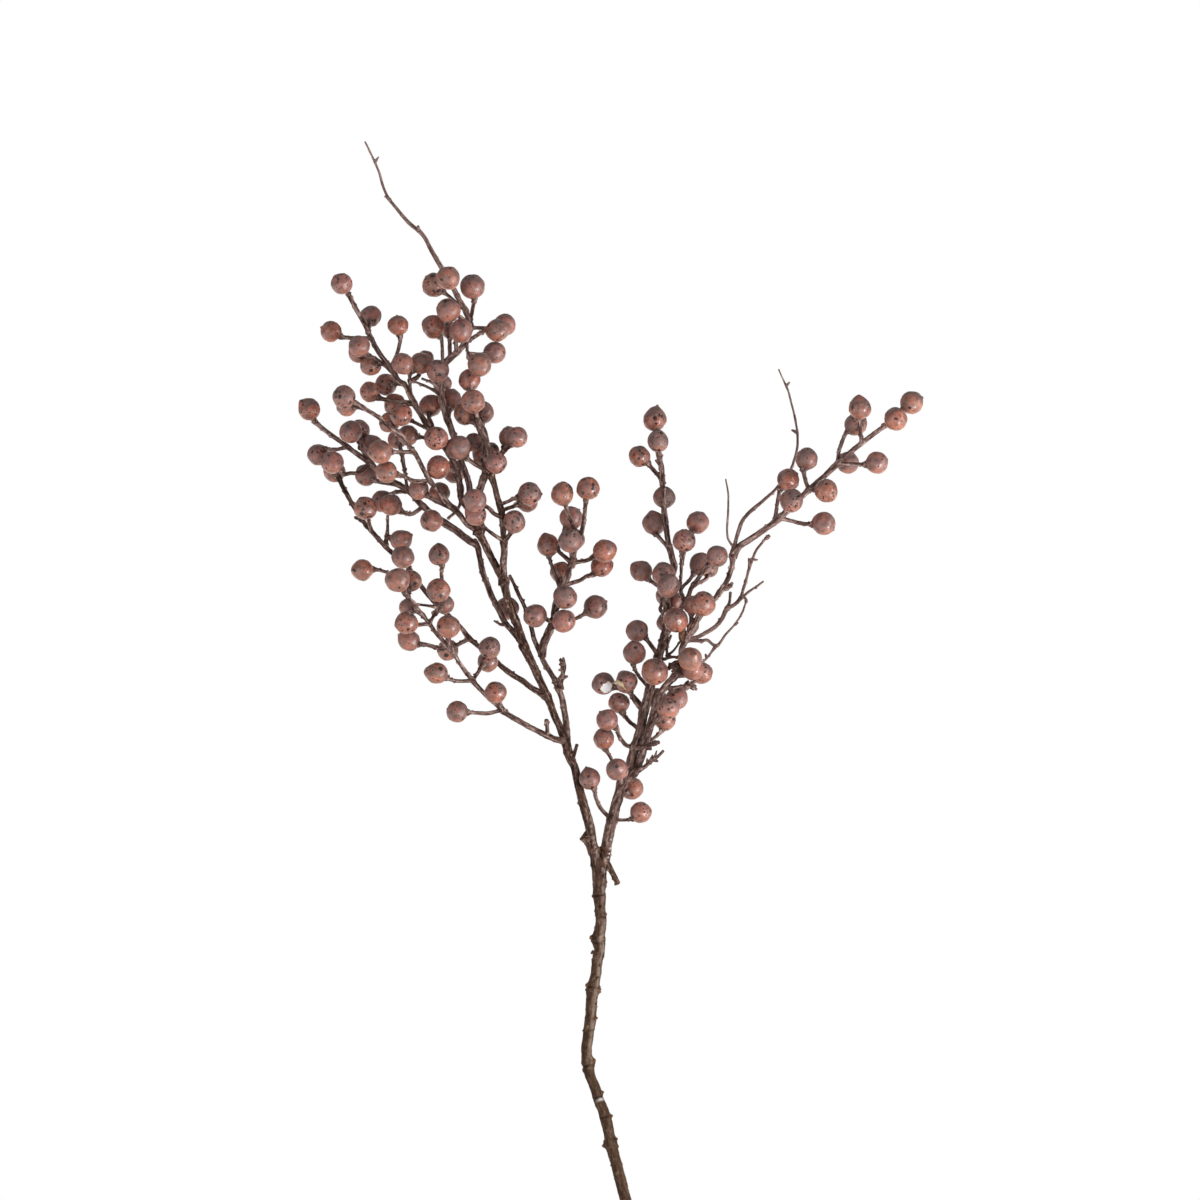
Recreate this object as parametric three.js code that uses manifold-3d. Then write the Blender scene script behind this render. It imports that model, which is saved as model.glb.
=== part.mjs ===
// A dried eucalyptus stem with round pods, standing in a plain stoneware jug.
// Millimetres, +Z up, +X to the right and -Y towards the viewer. The origin is the centre of
// the jug's flat underside.
import * as THREE from "three";
import { mergeVertices } from "three/addons/utils/BufferGeometryUtils.js";
import Module from "manifold-3d";

const wasm = await Module();
wasm.setup();

// Jug
const JUG_HEIGHT = 200;
const JUG_SIDES = 32;
const FLOOR_THICKNESS = 7;
// Outline from the middle of the underside to the lip, as [radius, height].
const JUG_OUTSIDE = [
  [0, 0], [47, 0], [50, 4], [55, 24], [60.2, 50], [61, 72], [57.5, 100], [48.8, 129],
  [39.8, 152], [36, 170], [36, 186], [37.4, 196], [35.4, JUG_HEIGHT],
];
// Outline of the hollow from the middle of its floor to the lip.
const JUG_INSIDE = [
  [0, FLOOR_THICKNESS], [44, FLOOR_THICKNESS], [50.6, 24], [55.4, 50], [56.2, 72], [52.7, 98],
  [44, 126], [35.2, 149], [31.4, 168], [31.3, 186], [33.8, JUG_HEIGHT],
];
const CUT_ABOVE = 12; // how far the hollow's cutter stands above the lip
const CUT_FLARE = 0.5; // and how much wider than the mouth it is there
// The spout is the lip drawn out to the left, over a channel that fades out down the neck.
const SPOUT_FOOT = 148;
const SPOUT_REACH = 8.6;
const SPOUT_RISE = 3;
const SPOUT_HALF_ANGLE = 0.42;
const SPOUT_LEAN = 1.5; // how late the channel leans out on its way up
const SPOUT_LIFT = 3; // and how late it rises
// Strap handle on the right: its middle line as [x, z], and its section.
const HANDLE_LINE = [[32.5, 175], [52, 184], [74, 178], [87, 159], [91, 131], [85, 103], [72, 84], [57, 73]];
const HANDLE_WIDTH = 21;
const HANDLE_THICKNESS = 8;
const HANDLE_STEPS = 12;
const HANDLE_SIDES = 8;

// Stem
const GAP = 0.3; // what a spray keeps clear of the wood that carries it
const THIN_BY = 0.8; // a route's point is left out where the wood is this straight without it
const TIDY_BY = 0.03; // the joins' slivers that are finer than this are smoothed away
const STALK_RADIUS = 1.05; // a stalk has half of a pod's sides
const TWIG_FIRST = 2.5; // a pod's stalk leaves another one only where that is this much nearer
const POD_SIDES = 6;
// A pod's outline from neck to tip, as [distance along its axis, radius], in pod radii.
const POD_OUTLINE = [[-0.97, 0.25], [-0.68, 0.74], [0.02, 1.04], [0.66, 0.77], [1.07, 0]];
const POD_TURN = 2.4; // each pod is turned by this angle from the one before it

// A twig's route is read from the front, as [x, z] or [x, z, radius] points. Its radii run evenly
// along it, and so do its depths after the one that it takes from the wood it grows on.
const twig = (radii, depths, route) => ({ radii, depths, route });
// A pod has its centre [x, z], its radius, how far it stands behind its stalk's root (in front is
// negative), and where its stalk bends, starting at the root.
const pod = (x, z, radius, behind, stalk) => ({ x, z, radius, behind, stalk });

// Every node of the stem, with the node that carries it and any other that it stands close to.
const STEM = [
  ["trunk", [], [
    twig([3.6], [0, 0], [
      [17, 8.25, 3.5], [-35, 195, 3.4], [-41, 217, 3.6], [-49, 247, 3.6], [-53.5, 267, 3.7],
      [-58, 281, 3.5], [-63.6, 297, 3.5], [-64.8, 303.5, 4.2], [-65.9, 310, 3.5], [-64.2, 326, 3.6],
      [-61.8, 352, 3.7], [-59.6, 365, 3.5], [-57.8, 378, 3.6], [-58.4, 384, 4.5], [-57.2, 390, 3.7],
      [-57, 405, 3.6], [-57.6, 414, 4], [-57.7, 423, 4.5], [-57.9, 431, 4.6], [-58, 437, 3]]),
    twig([3.2, 3.2], [-0.5, -1], [[-58.5, 421], [-60.3, 434], [-61.5, 443.5]]),
    twig([3.5, 3.7], [0.5, 1], [[-57, 421], [-55, 434], [-53.3, 443.5]]),
    twig([1.9, 1.4], [-1, -4], [[-54, 436], [-51.7, 432.2], [-48.5, 426.5], [-45.6, 420.9]]),
    twig([1.6, 0.9], [-1, -1], [[-52, 252], [-54.7, 253]]),
    twig([1.5, 0.8], [0, 0], [[-49, 252], [-46, 255]]),
    twig([1.6, 1], [0, -1], [[-64, 304], [-60.4, 306]]),
    twig([1.3, 0.8], [-1, -2], [[-62, 331], [-59, 333.5]]),
    twig([1.6, 0.9], [-1, -1], [[-62, 352], [-66.3, 355]]),
    twig([1.4, 0.9], [1, 2], [[-60, 350], [-56.8, 352]]),
    twig([1.4, 0.8], [0, 1], [[-59, 374], [-62.4, 376.5]]),
    twig([1.5, 0.9], [-1, -2], [[-59, 383], [-63.6, 385.5]]),
    twig([1.4, 0.8], [0, 0], [[-58, 411], [-62.2, 413]]),
  ]],
  ["left_limb", ["trunk"], [
    twig([3.2, 2.8, 2.4, 2.6, 2.5], [-1, -2], [
      [-61.6, 443.5], [-62.7, 450], [-64.6, 460], [-67.3, 471], [-70.3, 482], [-73, 493],
      [-76.3, 502], [-79.2, 511], [-82.4, 520], [-86.6, 530], [-91, 541], [-95.8, 552],
      [-100.7, 563], [-106.1, 574, 3], [-110, 585], [-113.3, 594], [-117, 605], [-118.5, 612],
      [-120, 620]]),
    twig([2.4, 2.2], [-1, 0], [
      [-119.5, 616], [-124, 625], [-128, 633], [-131.5, 641], [-134.5, 646, 2.4], [-136, 649.5, 3.5],
      [-137.5, 652, 2.2]]),
    twig([3.1, 0.9], [-1, -2], [[-64, 449.5], [-70, 449.7]]),
    twig([1.3, 1.1], [-3, -4], [[-75.5, 501], [-74, 505], [-72.2, 511]]),
    pod(-117.5, 600, 7.4, 20, [[-112, 592]]),
  ]],
  ["left_low_front_spray", ["left_limb"], [
    twig([2, 1.6, 1.4, 1.2], [-24, -42], [
      [-81, 513], [-86, 514.5], [-92, 517], [-100, 521], [-108, 525.5], [-115, 529.5], [-120, 533],
      [-124, 537], [-129, 541], [-134, 546], [-140, 553], [-145, 559], [-149, 565], [-153, 571],
      [-158, 577], [-163, 583], [-168, 590], [-171, 594], [-176, 600], [-181, 606], [-184, 610]]),
    twig([1, 1.5], [-7, -9], [[-91.5, 517], [-91.5, 522], [-92, 527]]),
    twig([1, 0.9], [-37, -38], [[-168, 590], [-164, 597], [-163, 602]]),
    pod(-150, 532.5, 6.8, -6, [[-121, 533.5], [-130, 531.5], [-142, 532]]),
    pod(-125, 545, 6.8, -17, [[-120.5, 533]]),
    pod(-163.5, 557.5, 6.8, -3, [[-140, 552.5], [-150, 552.5], [-156, 554]]),
    pod(-130, 565, 6.6, 20, [[-140, 553], [-137, 557], [-134, 562]]),
    pod(-181.5, 579, 7, 8, [[-155, 573], [-163, 574], [-170, 576], [-175, 576.5]]),
    pod(-155.5, 588, 7.4, -9, [[-152, 569], [-154, 574], [-155.5, 580]]),
    pod(-183, 590, 7.3, -14, [[-168, 589.5], [-175, 589]]),
    pod(-181.7, 600.2, 6, 17, [[-172, 595]]),
    pod(-162, 611.3, 7.5, -12, [[-163, 602]]),
    pod(-158, 602, 6.2, 11, [[-164, 596]]),
    pod(-188.5, 618, 7.8, -7, [[-184, 610]]),
    pod(-180, 617.5, 6.8, 12, [[-182, 607]]),
  ]],
  ["left_low_back_spray", ["left_limb"], [
    twig([1.9, 1.6, 1.5, 1.4], [26, 44], [
      [-93.5, 542, 2.4], [-101.5, 547.5], [-107.3, 552], [-113.5, 556], [-119.5, 560.5], [-124.5, 565],
      [-130, 570], [-136, 575], [-142, 580], [-148, 587], [-155, 594], [-160, 599], [-167, 606],
      [-172, 612], [-178, 620], [-183, 627], [-188, 632], [-193, 636], [-198, 641], [-202, 645],
      [-208, 652], [-213, 658], [-218, 666], [-222, 673], [-225, 679], [-227, 684]]),
    twig([1.3, 0.9], [35, 33], [[-197, 640], [-196, 650], [-195.5, 660]]),
    twig([1.2, 0.8], [42, 42], [[-213, 657], [-217, 659]]),
    pod(-230.5, 689, 7, 12, [[-227, 684]]),
    pod(-210, 665, 7.2, -16, [[-206, 650]]),
    pod(-186.6, 644.2, 6.8, -4, [[-196, 647], [-192.5, 645]]),
    pod(-185.5, 633, 7.2, -17, [[-178, 620]]),
    pod(-212, 624.5, 7, -3, [[-181, 624], [-193, 622.5], [-201, 624.5], [-205, 625]]),
    pod(-162, 634.5, 6.8, -4, [[-159, 598], [-160, 618], [-160.5, 622], [-160, 627]]),
    pod(-129, 574, 6.8, -28, [[-133, 573]]),
    pod(-156.6, 572.4, 6.8, 18, [[-142, 580]]),
  ]],
  ["left_inner_spray", ["left_limb"], [
    twig([2.1, 1.9, 1.6, 1.1], [14, 20], [
      [-78, 506], [-79, 522], [-80, 531], [-82, 540], [-84, 547], [-86, 552], [-91, 560], [-95, 568],
      [-98, 574], [-100, 580], [-102, 588], [-106, 600], [-110, 608], [-113, 615], [-116, 621]]),
    twig([2, 2], [10, 8], [
      [-84, 547], [-83.3, 552, 2.1], [-81.6, 557, 1.4], [-80.9, 561.5, 1.7], [-81, 567.6, 0.6]]),
    twig([0.9, 0.6], [9, 8], [[-81.5, 560], [-83.9, 559.4]]),
    twig([0.9, 0.6], [8, 7], [[-81.2, 562.5], [-83.5, 563.2]]),
    twig([0.8, 0.5], [8, 7], [[-81, 565], [-83.1, 565.8]]),
    twig([1.4, 0.7], [10, 10], [[-82, 554], [-78.3, 555.3]]),
    twig([2.8, 2.3, 1.8, 1.2], [0, -12], [
      [-95, 568], [-94, 576], [-91, 583], [-88, 590], [-86.5, 597], [-85.5, 603], [-83, 612],
      [-81, 615], [-78.5, 620], [-77, 626], [-75, 630], [-74, 636], [-71, 645], [-69, 651],
      [-67, 663], [-66.5, 669]]),
    pod(-65, 678, 7.3, -5, [[-66.5, 669]]),
    pod(-99.5, 595, 7.3, -12, [[-88, 590], [-93, 593]]),
    pod(-80.5, 591.5, 7.4, -18, [[-90, 585]]),
    pod(-60, 600.5, 7.5, 4, [[-88, 590], [-73, 593], [-66, 597]]),
    pod(-80, 607, 7.5, -19, [[-86.5, 597]]),
    pod(-82.5, 623, 6.9, 17, [[-84, 609]]),
    pod(-91, 641, 7.2, 9, [[-83, 612], [-90, 632]]),
    pod(-56, 627, 6.8, 5, [[-81, 614], [-70, 618], [-66, 620.5], [-62, 621.5]]),
    pod(-54, 637, 7.3, -8, [[-75.5, 629], [-65, 631], [-62, 632.5]]),
    pod(-76.4, 643.4, 7.5, -16, [[-76, 629]]),
    pod(-74, 644.6, 6.9, 16, [[-75, 632]]),
    pod(-75.9, 658.2, 7.3, 9, [[-75.5, 629], [-80, 633], [-84, 637], [-83, 644]]),
    pod(-81.5, 674, 7.3, -7, [[-71.5, 644], [-75, 654], [-78, 661], [-80, 668]]),
  ]],
  ["left_outer_spray", ["left_limb"], [
    twig([1.9, 1.9], [10, 18], [
      [-107, 575], [-115, 586], [-120, 592], [-123, 598], [-127, 606], [-130, 614], [-133, 622],
      [-135, 631], [-137, 640], [-139, 644]]),
    twig([2.6, 2, 1.7, 1.4], [30, 36], [
      [-138, 641], [-143, 644], [-150, 649.5], [-160, 656], [-168, 662], [-175, 669], [-183, 677],
      [-190, 681], [-198, 686], [-204, 691], [-207, 694], [-214, 699], [-222, 705], [-230, 711],
      [-238, 717], [-243, 721]]),
    twig([1.1, 0.7], [6, 4], [[-118, 590], [-121, 589], [-126, 591.5]]),
    twig([1.1, 0.9], [26, 24], [[-183, 677], [-184, 688], [-185.5, 696, 1.5], [-186, 700]]),
    twig([1.1, 0.9], [34, 36], [[-205, 692], [-209, 698], [-213, 704], [-214, 708]]),
    pod(-247, 729.5, 7, -6, [[-243, 721]]),
    pod(-241, 699.5, 6.7, 9, [[-222, 704.5], [-229, 703], [-236, 703]]),
    pod(-219.5, 714.5, 7.2, -14, [[-214, 708]]),
    pod(-214, 716, 6.5, 20, [[-213, 704]]),
    pod(-206, 706, 7, 17, [[-207, 695]]),
    pod(-231.5, 694.5, 7, -6, [[-208, 693], [-214, 688], [-220, 687.5], [-224, 687]]),
    pod(-210, 686.5, 7, 13, [[-188, 680], [-195, 681], [-203, 682.5]]),
    pod(-199, 669.5, 7, 14, [[-182, 676], [-191, 675]]),
    pod(-193, 667, 7, -6, [[-172, 666], [-180, 661], [-186, 662.5]]),
    pod(-167, 656.5, 7, -19, [[-158, 654.5]]),
    pod(-189.2, 710, 6.3, 17, [[-186, 700]]),
  ]],
  ["left_front_spray", ["left_limb"], [
    twig([1.8, 1.5, 1.3], [-22, -38], [
      [-137, 650], [-143, 654], [-150, 662], [-158, 670], [-165, 679], [-168, 683], [-172, 690],
      [-177, 700], [-180, 704], [-186, 711], [-192, 716], [-197, 720], [-203, 725], [-210, 729],
      [-216, 733]]),
    pod(-223.5, 736.5, 7.3, -10, [[-216, 733]]),
    pod(-222, 731, 6.5, 10, [[-211, 730]]),
    pod(-200, 701, 7.5, -5, [[-178, 701], [-187, 701], [-193, 701]]),
    pod(-196, 688, 7, -3, [[-168, 682], [-178, 682.5], [-184, 685], [-189, 686.5]]),
    pod(-175, 677, 6.4, 8, [[-152, 663], [-160, 667.5], [-167, 671]]),
    pod(-162, 674.5, 6.8, 20, [[-152, 664]]),
    pod(-194, 720.3, 6.5, 27, [[-187, 712]]),
  ]],
  ["left_tall_spray", ["left_limb", "left_front_spray"], [
    twig([2.1, 2.1, 2.1, 2, 1.75, 1.45, 1, 0.6], [8, 12, 15, 15, 12, 10, 8, 6], [
      [-136, 650], [-139, 660], [-141, 670], [-142, 679], [-145, 689], [-148, 697], [-151, 708],
      [-154, 716], [-158, 728], [-161, 738], [-162, 748], [-159, 758], [-150, 766.5], [-145, 772],
      [-142.5, 778], [-142, 784], [-144.5, 793], [-149, 801], [-153, 808], [-158, 817], [-164, 827],
      [-167.5, 833], [-171, 840], [-175, 845], [-180, 849], [-185, 854], [-190, 860], [-195, 867],
      [-198, 874], [-200, 880], [-202.5, 887], [-204, 891], [-207, 897], [-210, 903]]),
    twig([1.1, 0.7], [17, 19], [[-161, 739], [-170, 744], [-180, 748]]),
    twig([1.1, 0.8], [9, 7], [[-161, 741], [-166, 746], [-173, 749]]),
    twig([0.7, 0.5], [6, 6], [[-203, 890], [-201.2, 893]]),
    twig([0.8, 0.6], [6, 6], [[-194, 865], [-197, 867.5]]),
    twig([1, 0.8], [5, 4], [[-175, 845], [-175.5, 848]]),
    twig([0.9, 0.9], [3, -4], [[-144.5, 772], [-143.5, 767], [-142.5, 763]]),
    pod(-162.5, 754, 7.3, -19, [[-161.5, 744]]),
    pod(-160, 746, 6, 19, [[-160, 735]]),
    pod(-165.5, 783, 7.5, -3, [[-160, 757], [-160.5, 775]]),
    pod(-147.5, 780, 7.5, -14, [[-150, 766], [-151, 773]]),
    pod(-155, 781, 5.5, 14, [[-155, 762]]),
    pod(-123.5, 780.4, 7.3, -7, [[-145, 772], [-136, 778], [-131, 781]]),
    pod(-119.1, 784.2, 7, 8, [[-142, 782], [-139, 782], [-131, 782]]),
    pod(-135.6, 757.9, 7.7, -9, [[-142.5, 763]]),
    pod(-125.5, 766, 7.2, 14, [[-143, 765], [-134, 765]]),
    pod(-154, 735.2, 6.8, 14, [[-156, 722]]),
    pod(-140, 809, 7.7, -2, [[-142, 783], [-139, 801]]),
    pod(-165.6, 810, 7.5, 4, [[-144.5, 793], [-148, 796], [-156, 803]]),
    pod(-156, 814.5, 7.5, -18, [[-150, 803]]),
    pod(-156, 793.3, 7.5, -14, [[-142, 784], [-148, 789]]),
  ]],
  ["left_middle_spray", ["left_tall_spray"], [
    twig([2, 1.9, 1.6, 1.4], [4, 8], [
      [-139, 659], [-143, 664.5], [-147, 671], [-148, 680], [-151, 692], [-155, 699], [-159, 705],
      [-165, 712], [-169, 717], [-173, 724], [-178, 733], [-181, 738], [-184, 745], [-188, 748],
      [-194, 757], [-200, 765], [-207, 777], [-213, 789], [-219, 800], [-221, 804]]),
    twig([1.1, 0.9], [4, 0], [[-191, 752], [-197, 757], [-203, 762], [-209, 764]]),
    twig([1.1, 0.9], [5, 4], [[-180, 736], [-181, 745], [-181, 753]]),
    twig([1, 0.9], [-3, -8], [[-147, 671], [-150, 663], [-156, 658]]),
    pod(-225, 810.5, 7, -8, [[-221, 804]]),
    pod(-232, 779.5, 6.8, -2, [[-206, 775], [-225, 776]]),
    pod(-206.5, 790, 6.7, 18, [[-208, 779]]),
    pod(-213.5, 770, 6.6, -13, [[-209, 764]]),
    pod(-214.4, 765.8, 6.3, 19.5, [[-207, 763]]),
    pod(-206.6, 757.6, 6.6, 9, [[-199, 759]]),
    pod(-188.5, 783.5, 6.5, 3, [[-193, 756], [-189, 766], [-187, 775]]),
    pod(-185.4, 758.6, 7, -13, [[-181, 753]]),
    pod(-173.6, 759, 6.7, 3, [[-181, 752]]),
    pod(-171, 762, 5.5, 18, [[-180.8, 747], [-176, 750]]),
    pod(-197, 745, 6.8, 18, [[-185, 745.5]]),
    pod(-207, 740.5, 6.5, 6, [[-178, 733], [-197, 735.5], [-202, 737]]),
    pod(-191, 732.2, 7, 12, [[-178, 732]]),
    pod(-186.6, 725, 7, -20, [[-168, 716], [-181, 722]]),
    pod(-163.5, 710, 7.5, -19, [[-156, 700]]),
    pod(-167.5, 731.5, 7, 18, [[-166, 713], [-166, 718], [-168.5, 724]]),
    pod(-182, 712, 6.6, 9, [[-163.5, 710], [-171, 710.5]]),
    pod(-162.4, 691, 7.5, -18, [[-150, 689]]),
    pod(-152.3, 688.6, 7.3, 21, [[-148, 677]]),
  ]],
  ["left_short_spray", ["left_limb", "left_front_spray", "left_tall_spray"], [
    twig([2.4, 2.3, 2.7, 1.6], [-6, -5, -4, -4], [
      [-135, 650], [-137, 660], [-136, 672], [-134, 680], [-131.5, 688], [-130.5, 697], [-131, 705],
      [-132.5, 712], [-136, 719], [-139, 727], [-141, 739]]),
    pod(-142, 748, 7, 6, [[-141, 739]]),
    pod(-139.5, 734, 7.5, -18, [[-135, 717]]),
    pod(-145, 726, 7, 8, [[-134, 715]]),
    pod(-133.8, 727.5, 7.3, 20, [[-133, 713]]),
    pod(-133, 700, 7.2, 24, [[-133, 683]]),
    pod(-139.2, 707.6, 6, 12.5, [[-131, 701]]),
  ]],
  ["left_upright_spray", ["left_limb"], [
    twig([2.3, 1.8], [-6, -12], [
      [-120, 617], [-120, 630], [-119.5, 640], [-120, 650], [-121, 660], [-124, 672], [-126, 680],
      [-128, 686]]),
    pod(-124.5, 694, 7, -9, [[-128, 686]]),
    pod(-115.9, 711.1, 7, 16, [[-127, 685], [-122, 699]]),
    pod(-111, 711, 6.8, -6, [[-122, 698]]),
    pod(-128.5, 701.5, 6, 16, [[-126.5, 682]]),
    pod(-149, 704, 7.5, -2, [[-127.5, 686], [-132, 689.5], [-138, 693], [-144, 697.5]]),
    pod(-138.3, 669.7, 7.3, -23, [[-121, 659], [-126, 661], [-130, 665]]),
    pod(-138.1, 660.4, 6.8, -11, [[-120, 643], [-127, 648], [-133, 653]]),
    pod(-103, 674, 7.3, -4, [[-122.5, 667], [-117, 669], [-111, 672]]),
    pod(-104.5, 669, 6.8, 12, [[-121.5, 663]]),
    pod(-112.9, 656, 7.2, -12, [[-119.7, 642], [-115, 649]]),
  ]],
  ["right_limb", ["trunk", "left_limb"], [
    twig([3.6, 3.1, 2.6, 2, 1.6], [6, 14], [
      [-53.2, 443.5], [-52.2, 450], [-51.3, 455], [-49.2, 463], [-45.5, 476], [-42.1, 487],
      [-39, 495], [-36, 503], [-33.4, 512], [-30.4, 522], [-28.4, 532], [-26.4, 541], [-23.9, 549],
      [-21.4, 558], [-19.4, 568], [-16.4, 578], [-14.9, 586], [-13.9, 596], [-13.9, 607],
      [-11.5, 617], [-9, 626], [-10.7, 633], [-12.5, 641], [-14, 650], [-15.5, 660], [-16, 670],
      [-16.5, 682], [-17.5, 692], [-19, 700]]),
    twig([1.8, 1.4], [-4, -8], [[-35, 509], [-28, 510], [-19, 512.5]]),
    twig([1.1, 0.9], [7, 5], [[-20, 567], [-14, 567], [-13.5, 575], [-11, 582]]),
    twig([0.9, 0.7], [14, 13], [[-17.5, 692], [-21, 696]]),
    pod(-64, 489, 6.8, -9, [[-49.5, 462], [-52, 464.5], [-57, 470], [-60, 477], [-61, 482]]),
    pod(-30.5, 467, 6.7, -6, [[-49.5, 462.5], [-41, 462], [-36, 463]]),
    pod(-36.5, 482.5, 7.2, 19, [[-46, 475]]),
    pod(-46, 495, 6.9, -19, [[-43, 485]]),
    pod(-54.5, 515, 6.8, 3, [[-43, 486], [-49.5, 501], [-53.5, 508]]),
    pod(-52.5, 527, 6.9, -6, [[-34.5, 510], [-40, 510.5], [-45, 517], [-46, 521]]),
    pod(-45, 538, 6.7, 8, [[-31.5, 520.5], [-38, 526], [-42, 531]]),
    pod(-40, 552, 7, -3, [[-29, 531], [-36, 541], [-37.5, 545]]),
    pod(-55, 550.5, 7.2, 9, [[-29, 534], [-38.5, 545]]),
    pod(-34.8, 570.8, 7, -4, [[-25, 547], [-33, 557], [-35.5, 563]]),
    pod(-33, 585, 7, 3, [[-20, 569], [-25, 577], [-29, 582]]),
    pod(-21.5, 558.5, 8.5, -17, [[-26, 544]]),
    pod(-8, 592, 7.8, -18, [[-17.5, 576]]),
    pod(-14, 590.5, 6.2, 18, [[-17, 578]]),
    pod(-14.3, 607.8, 6.6, 23, [[-14.5, 595], [-18, 599]]),
    pod(-9, 604, 6.8, 9.5, [[-14.5, 597]]),
    pod(-12.5, 614.5, 7.4, -23, [[-14.5, 603]]),
    pod(-16, 622, 7.3, -9, [[-14, 609]]),
    pod(-30.5, 624, 6.8, 4, [[-14, 610], [-21, 615], [-26, 619]]),
    pod(-21.5, 723, 7.4, 4, [[-18.5, 698], [-20, 708], [-21, 716]]),
    pod(-19.5, 708.5, 6.9, -10, [[-19, 700]]),
    pod(-31.5, 698.5, 6.9, 4, [[-16.5, 683], [-24, 691.5], [-26, 694]]),
    pod(-15.5, 672, 7, 15, [[-15, 658]]),
    pod(-22.2, 655.1, 7.3, 10, [[-12, 638], [-18, 645], [-21, 648]]),
  ]],
  ["right_second_limb", ["right_limb"], [
    twig([2.6, 2.2, 1.9, 1.5], [-8, -16], [
      [-41, 487.5], [-36, 491], [-31, 500], [-28.5, 508], [-26, 518], [-23, 529], [-20, 540],
      [-14, 550], [-8, 556], [-5, 565], [-4, 573], [-0.5, 581], [4, 589], [9, 596], [13, 601],
      [17, 606], [21, 611], [25, 617], [27, 621], [28.3, 628], [29, 636], [30, 638]]),
    twig([1.5, 0.9], [-6, -8], [[-35, 492], [-29, 496], [-24, 500], [-20, 503], [-16, 507]]),
    twig([1.5, 1.1], [-6, -10], [[-20, 541], [-15, 547], [-10, 548], [5, 549]]),
    twig([1.1, 0.8], [-12, -10], [[20, 610], [26, 613.5], [29, 616]]),
    pod(-15, 527.3, 6.9, 5, [[-27, 512], [-21, 516], [-17, 520]]),
    pod(-13, 535, 7, -14, [[-25, 521]]),
    pod(-7, 541.2, 7, 13, [[-22, 534]]),
    pod(-20.5, 541, 6.5, 22, [[-24, 525]]),
    pod(1.5, 567, 7.5, -18, [[-5, 566]]),
    pod(3, 560, 7, -4, [[-8, 556]]),
    pod(9, 557.5, 6.9, 11, [[-9, 555], [1, 556]]),
    pod(9.5, 602.5, 8, -16, [[3, 587]]),
    pod(3, 602, 6, 4, [[1, 584]]),
  ]],
  ["right_thin_twigs", ["right_second_limb"], [
    twig([1.4, 1.4, 0.9, 0.8], [-2, 6], [
      [-1.5, 579], [6, 581], [12, 584], [18, 588], [22, 593], [25, 599], [30, 602], [34, 606],
      [36, 612], [38.5, 620], [40, 626], [42, 632], [44, 637], [48, 642], [52, 646.5]]),
    twig([1.1, 1], [-1, 1], [[25, 599], [27, 604], [27.5, 610]]),
    twig([0.9, 0.7], [6, 12], [[34, 606], [38, 609], [42, 612], [49, 617]]),
    twig([1.3, 0.8, 0.6], [-10, -6], [
      [0, 579.5], [8, 578.5], [12, 579], [18.5, 575.5], [25, 583], [31, 590], [35, 597], [38, 604.5]]),
    twig([0.9, 0.7], [-13, -15], [[18.5, 575.5], [12, 567], [9, 564]]),
    twig([0.7, 0.7], [2, 2], [[39.5, 625], [39.5, 632]]),
  ]],
  ["right_short_spray", ["right_limb"], [
    twig([1.6, 1.4], [4, -4], [
      [-16, 582], [-10, 590], [-5, 598], [-2, 604], [0, 607], [2, 612], [6, 618], [10, 624],
      [13, 628]]),
    pod(19, 633.5, 6.9, -8, [[13, 628]]),
    pod(8.5, 628.5, 7.3, 6, [[-2, 604.5], [-4.5, 611.5], [1, 618], [4, 623]]),
    pod(13.5, 626, 6, 22, [[4, 615], [12, 619]]),
    pod(-2.5, 643.5, 7.2, -8, [[-2, 604], [-5, 611], [-4.5, 622], [-4, 634]]),
    pod(6.5, 655.5, 7.1, 12, [[-4.2, 628], [0, 645]]),
  ]],
  ["right_outer_spray", ["right_second_limb"], [
    twig([2.1, 1.9, 1.75, 1.5], [-24, -30], [
      [28.5, 633], [33, 639.5], [38, 643], [47, 649], [57, 656], [64, 662], [72, 670], [79, 677],
      [88, 685], [96, 693], [104, 700], [113, 707], [122, 714], [129, 719]]),
    pod(65, 683, 7.1, 4, [[56, 656], [58, 668], [60, 677]]),
    pod(67, 669.4, 7.4, -18, [[60, 659]]),
    pod(88, 654.5, 7.3, -2, [[60, 658], [72, 655], [80, 654]]),
    pod(77, 696.5, 7, 6, [[78, 677], [76, 683], [75, 689]]),
    pod(89.5, 675.8, 7.3, -17, [[78, 677]]),
    pod(104, 694.5, 7, 18, [[93, 691]]),
    pod(122.5, 694, 7.2, -3, [[96, 693], [115, 693]]),
    pod(109, 719, 7.2, 11, [[97, 694], [98, 702], [100, 708], [103, 714]]),
    pod(111.5, 730, 7.2, -4, [[113, 707], [111.5, 715], [110.5, 722]]),
    pod(134.5, 722.5, 7.4, -9, [[129, 719]]),
    pod(145, 733, 7.2, 5, [[128, 718.5], [138, 727]]),
  ]],
  ["right_bare_twigs", ["right_second_limb", "right_outer_spray"], [
    twig([1.4, 1.1, 0.8, 0.5], [-2, 6], [
      [29.5, 637], [33, 650], [35, 656], [40, 662], [48, 669], [55, 675], [59, 679], [64, 685],
      [67, 690], [70, 700], [71, 710], [70, 721], [67.5, 731], [65, 741], [62, 748], [59, 755]]),
    twig([0.8, 0.7, 0.5], [-14, -10], [
      [30, 639], [27.5, 642], [26, 645], [25.5, 650], [26, 660], [26, 670], [25.5, 677],
      [24.5, 683.5]]),
    twig([0.7, 0.6], [4, 4], [[63.5, 744], [66, 746.5]]),
    twig([0.8, 0.6], [2, 2], [[70.5, 714], [67.5, 715.5]]),
  ]],
];

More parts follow.
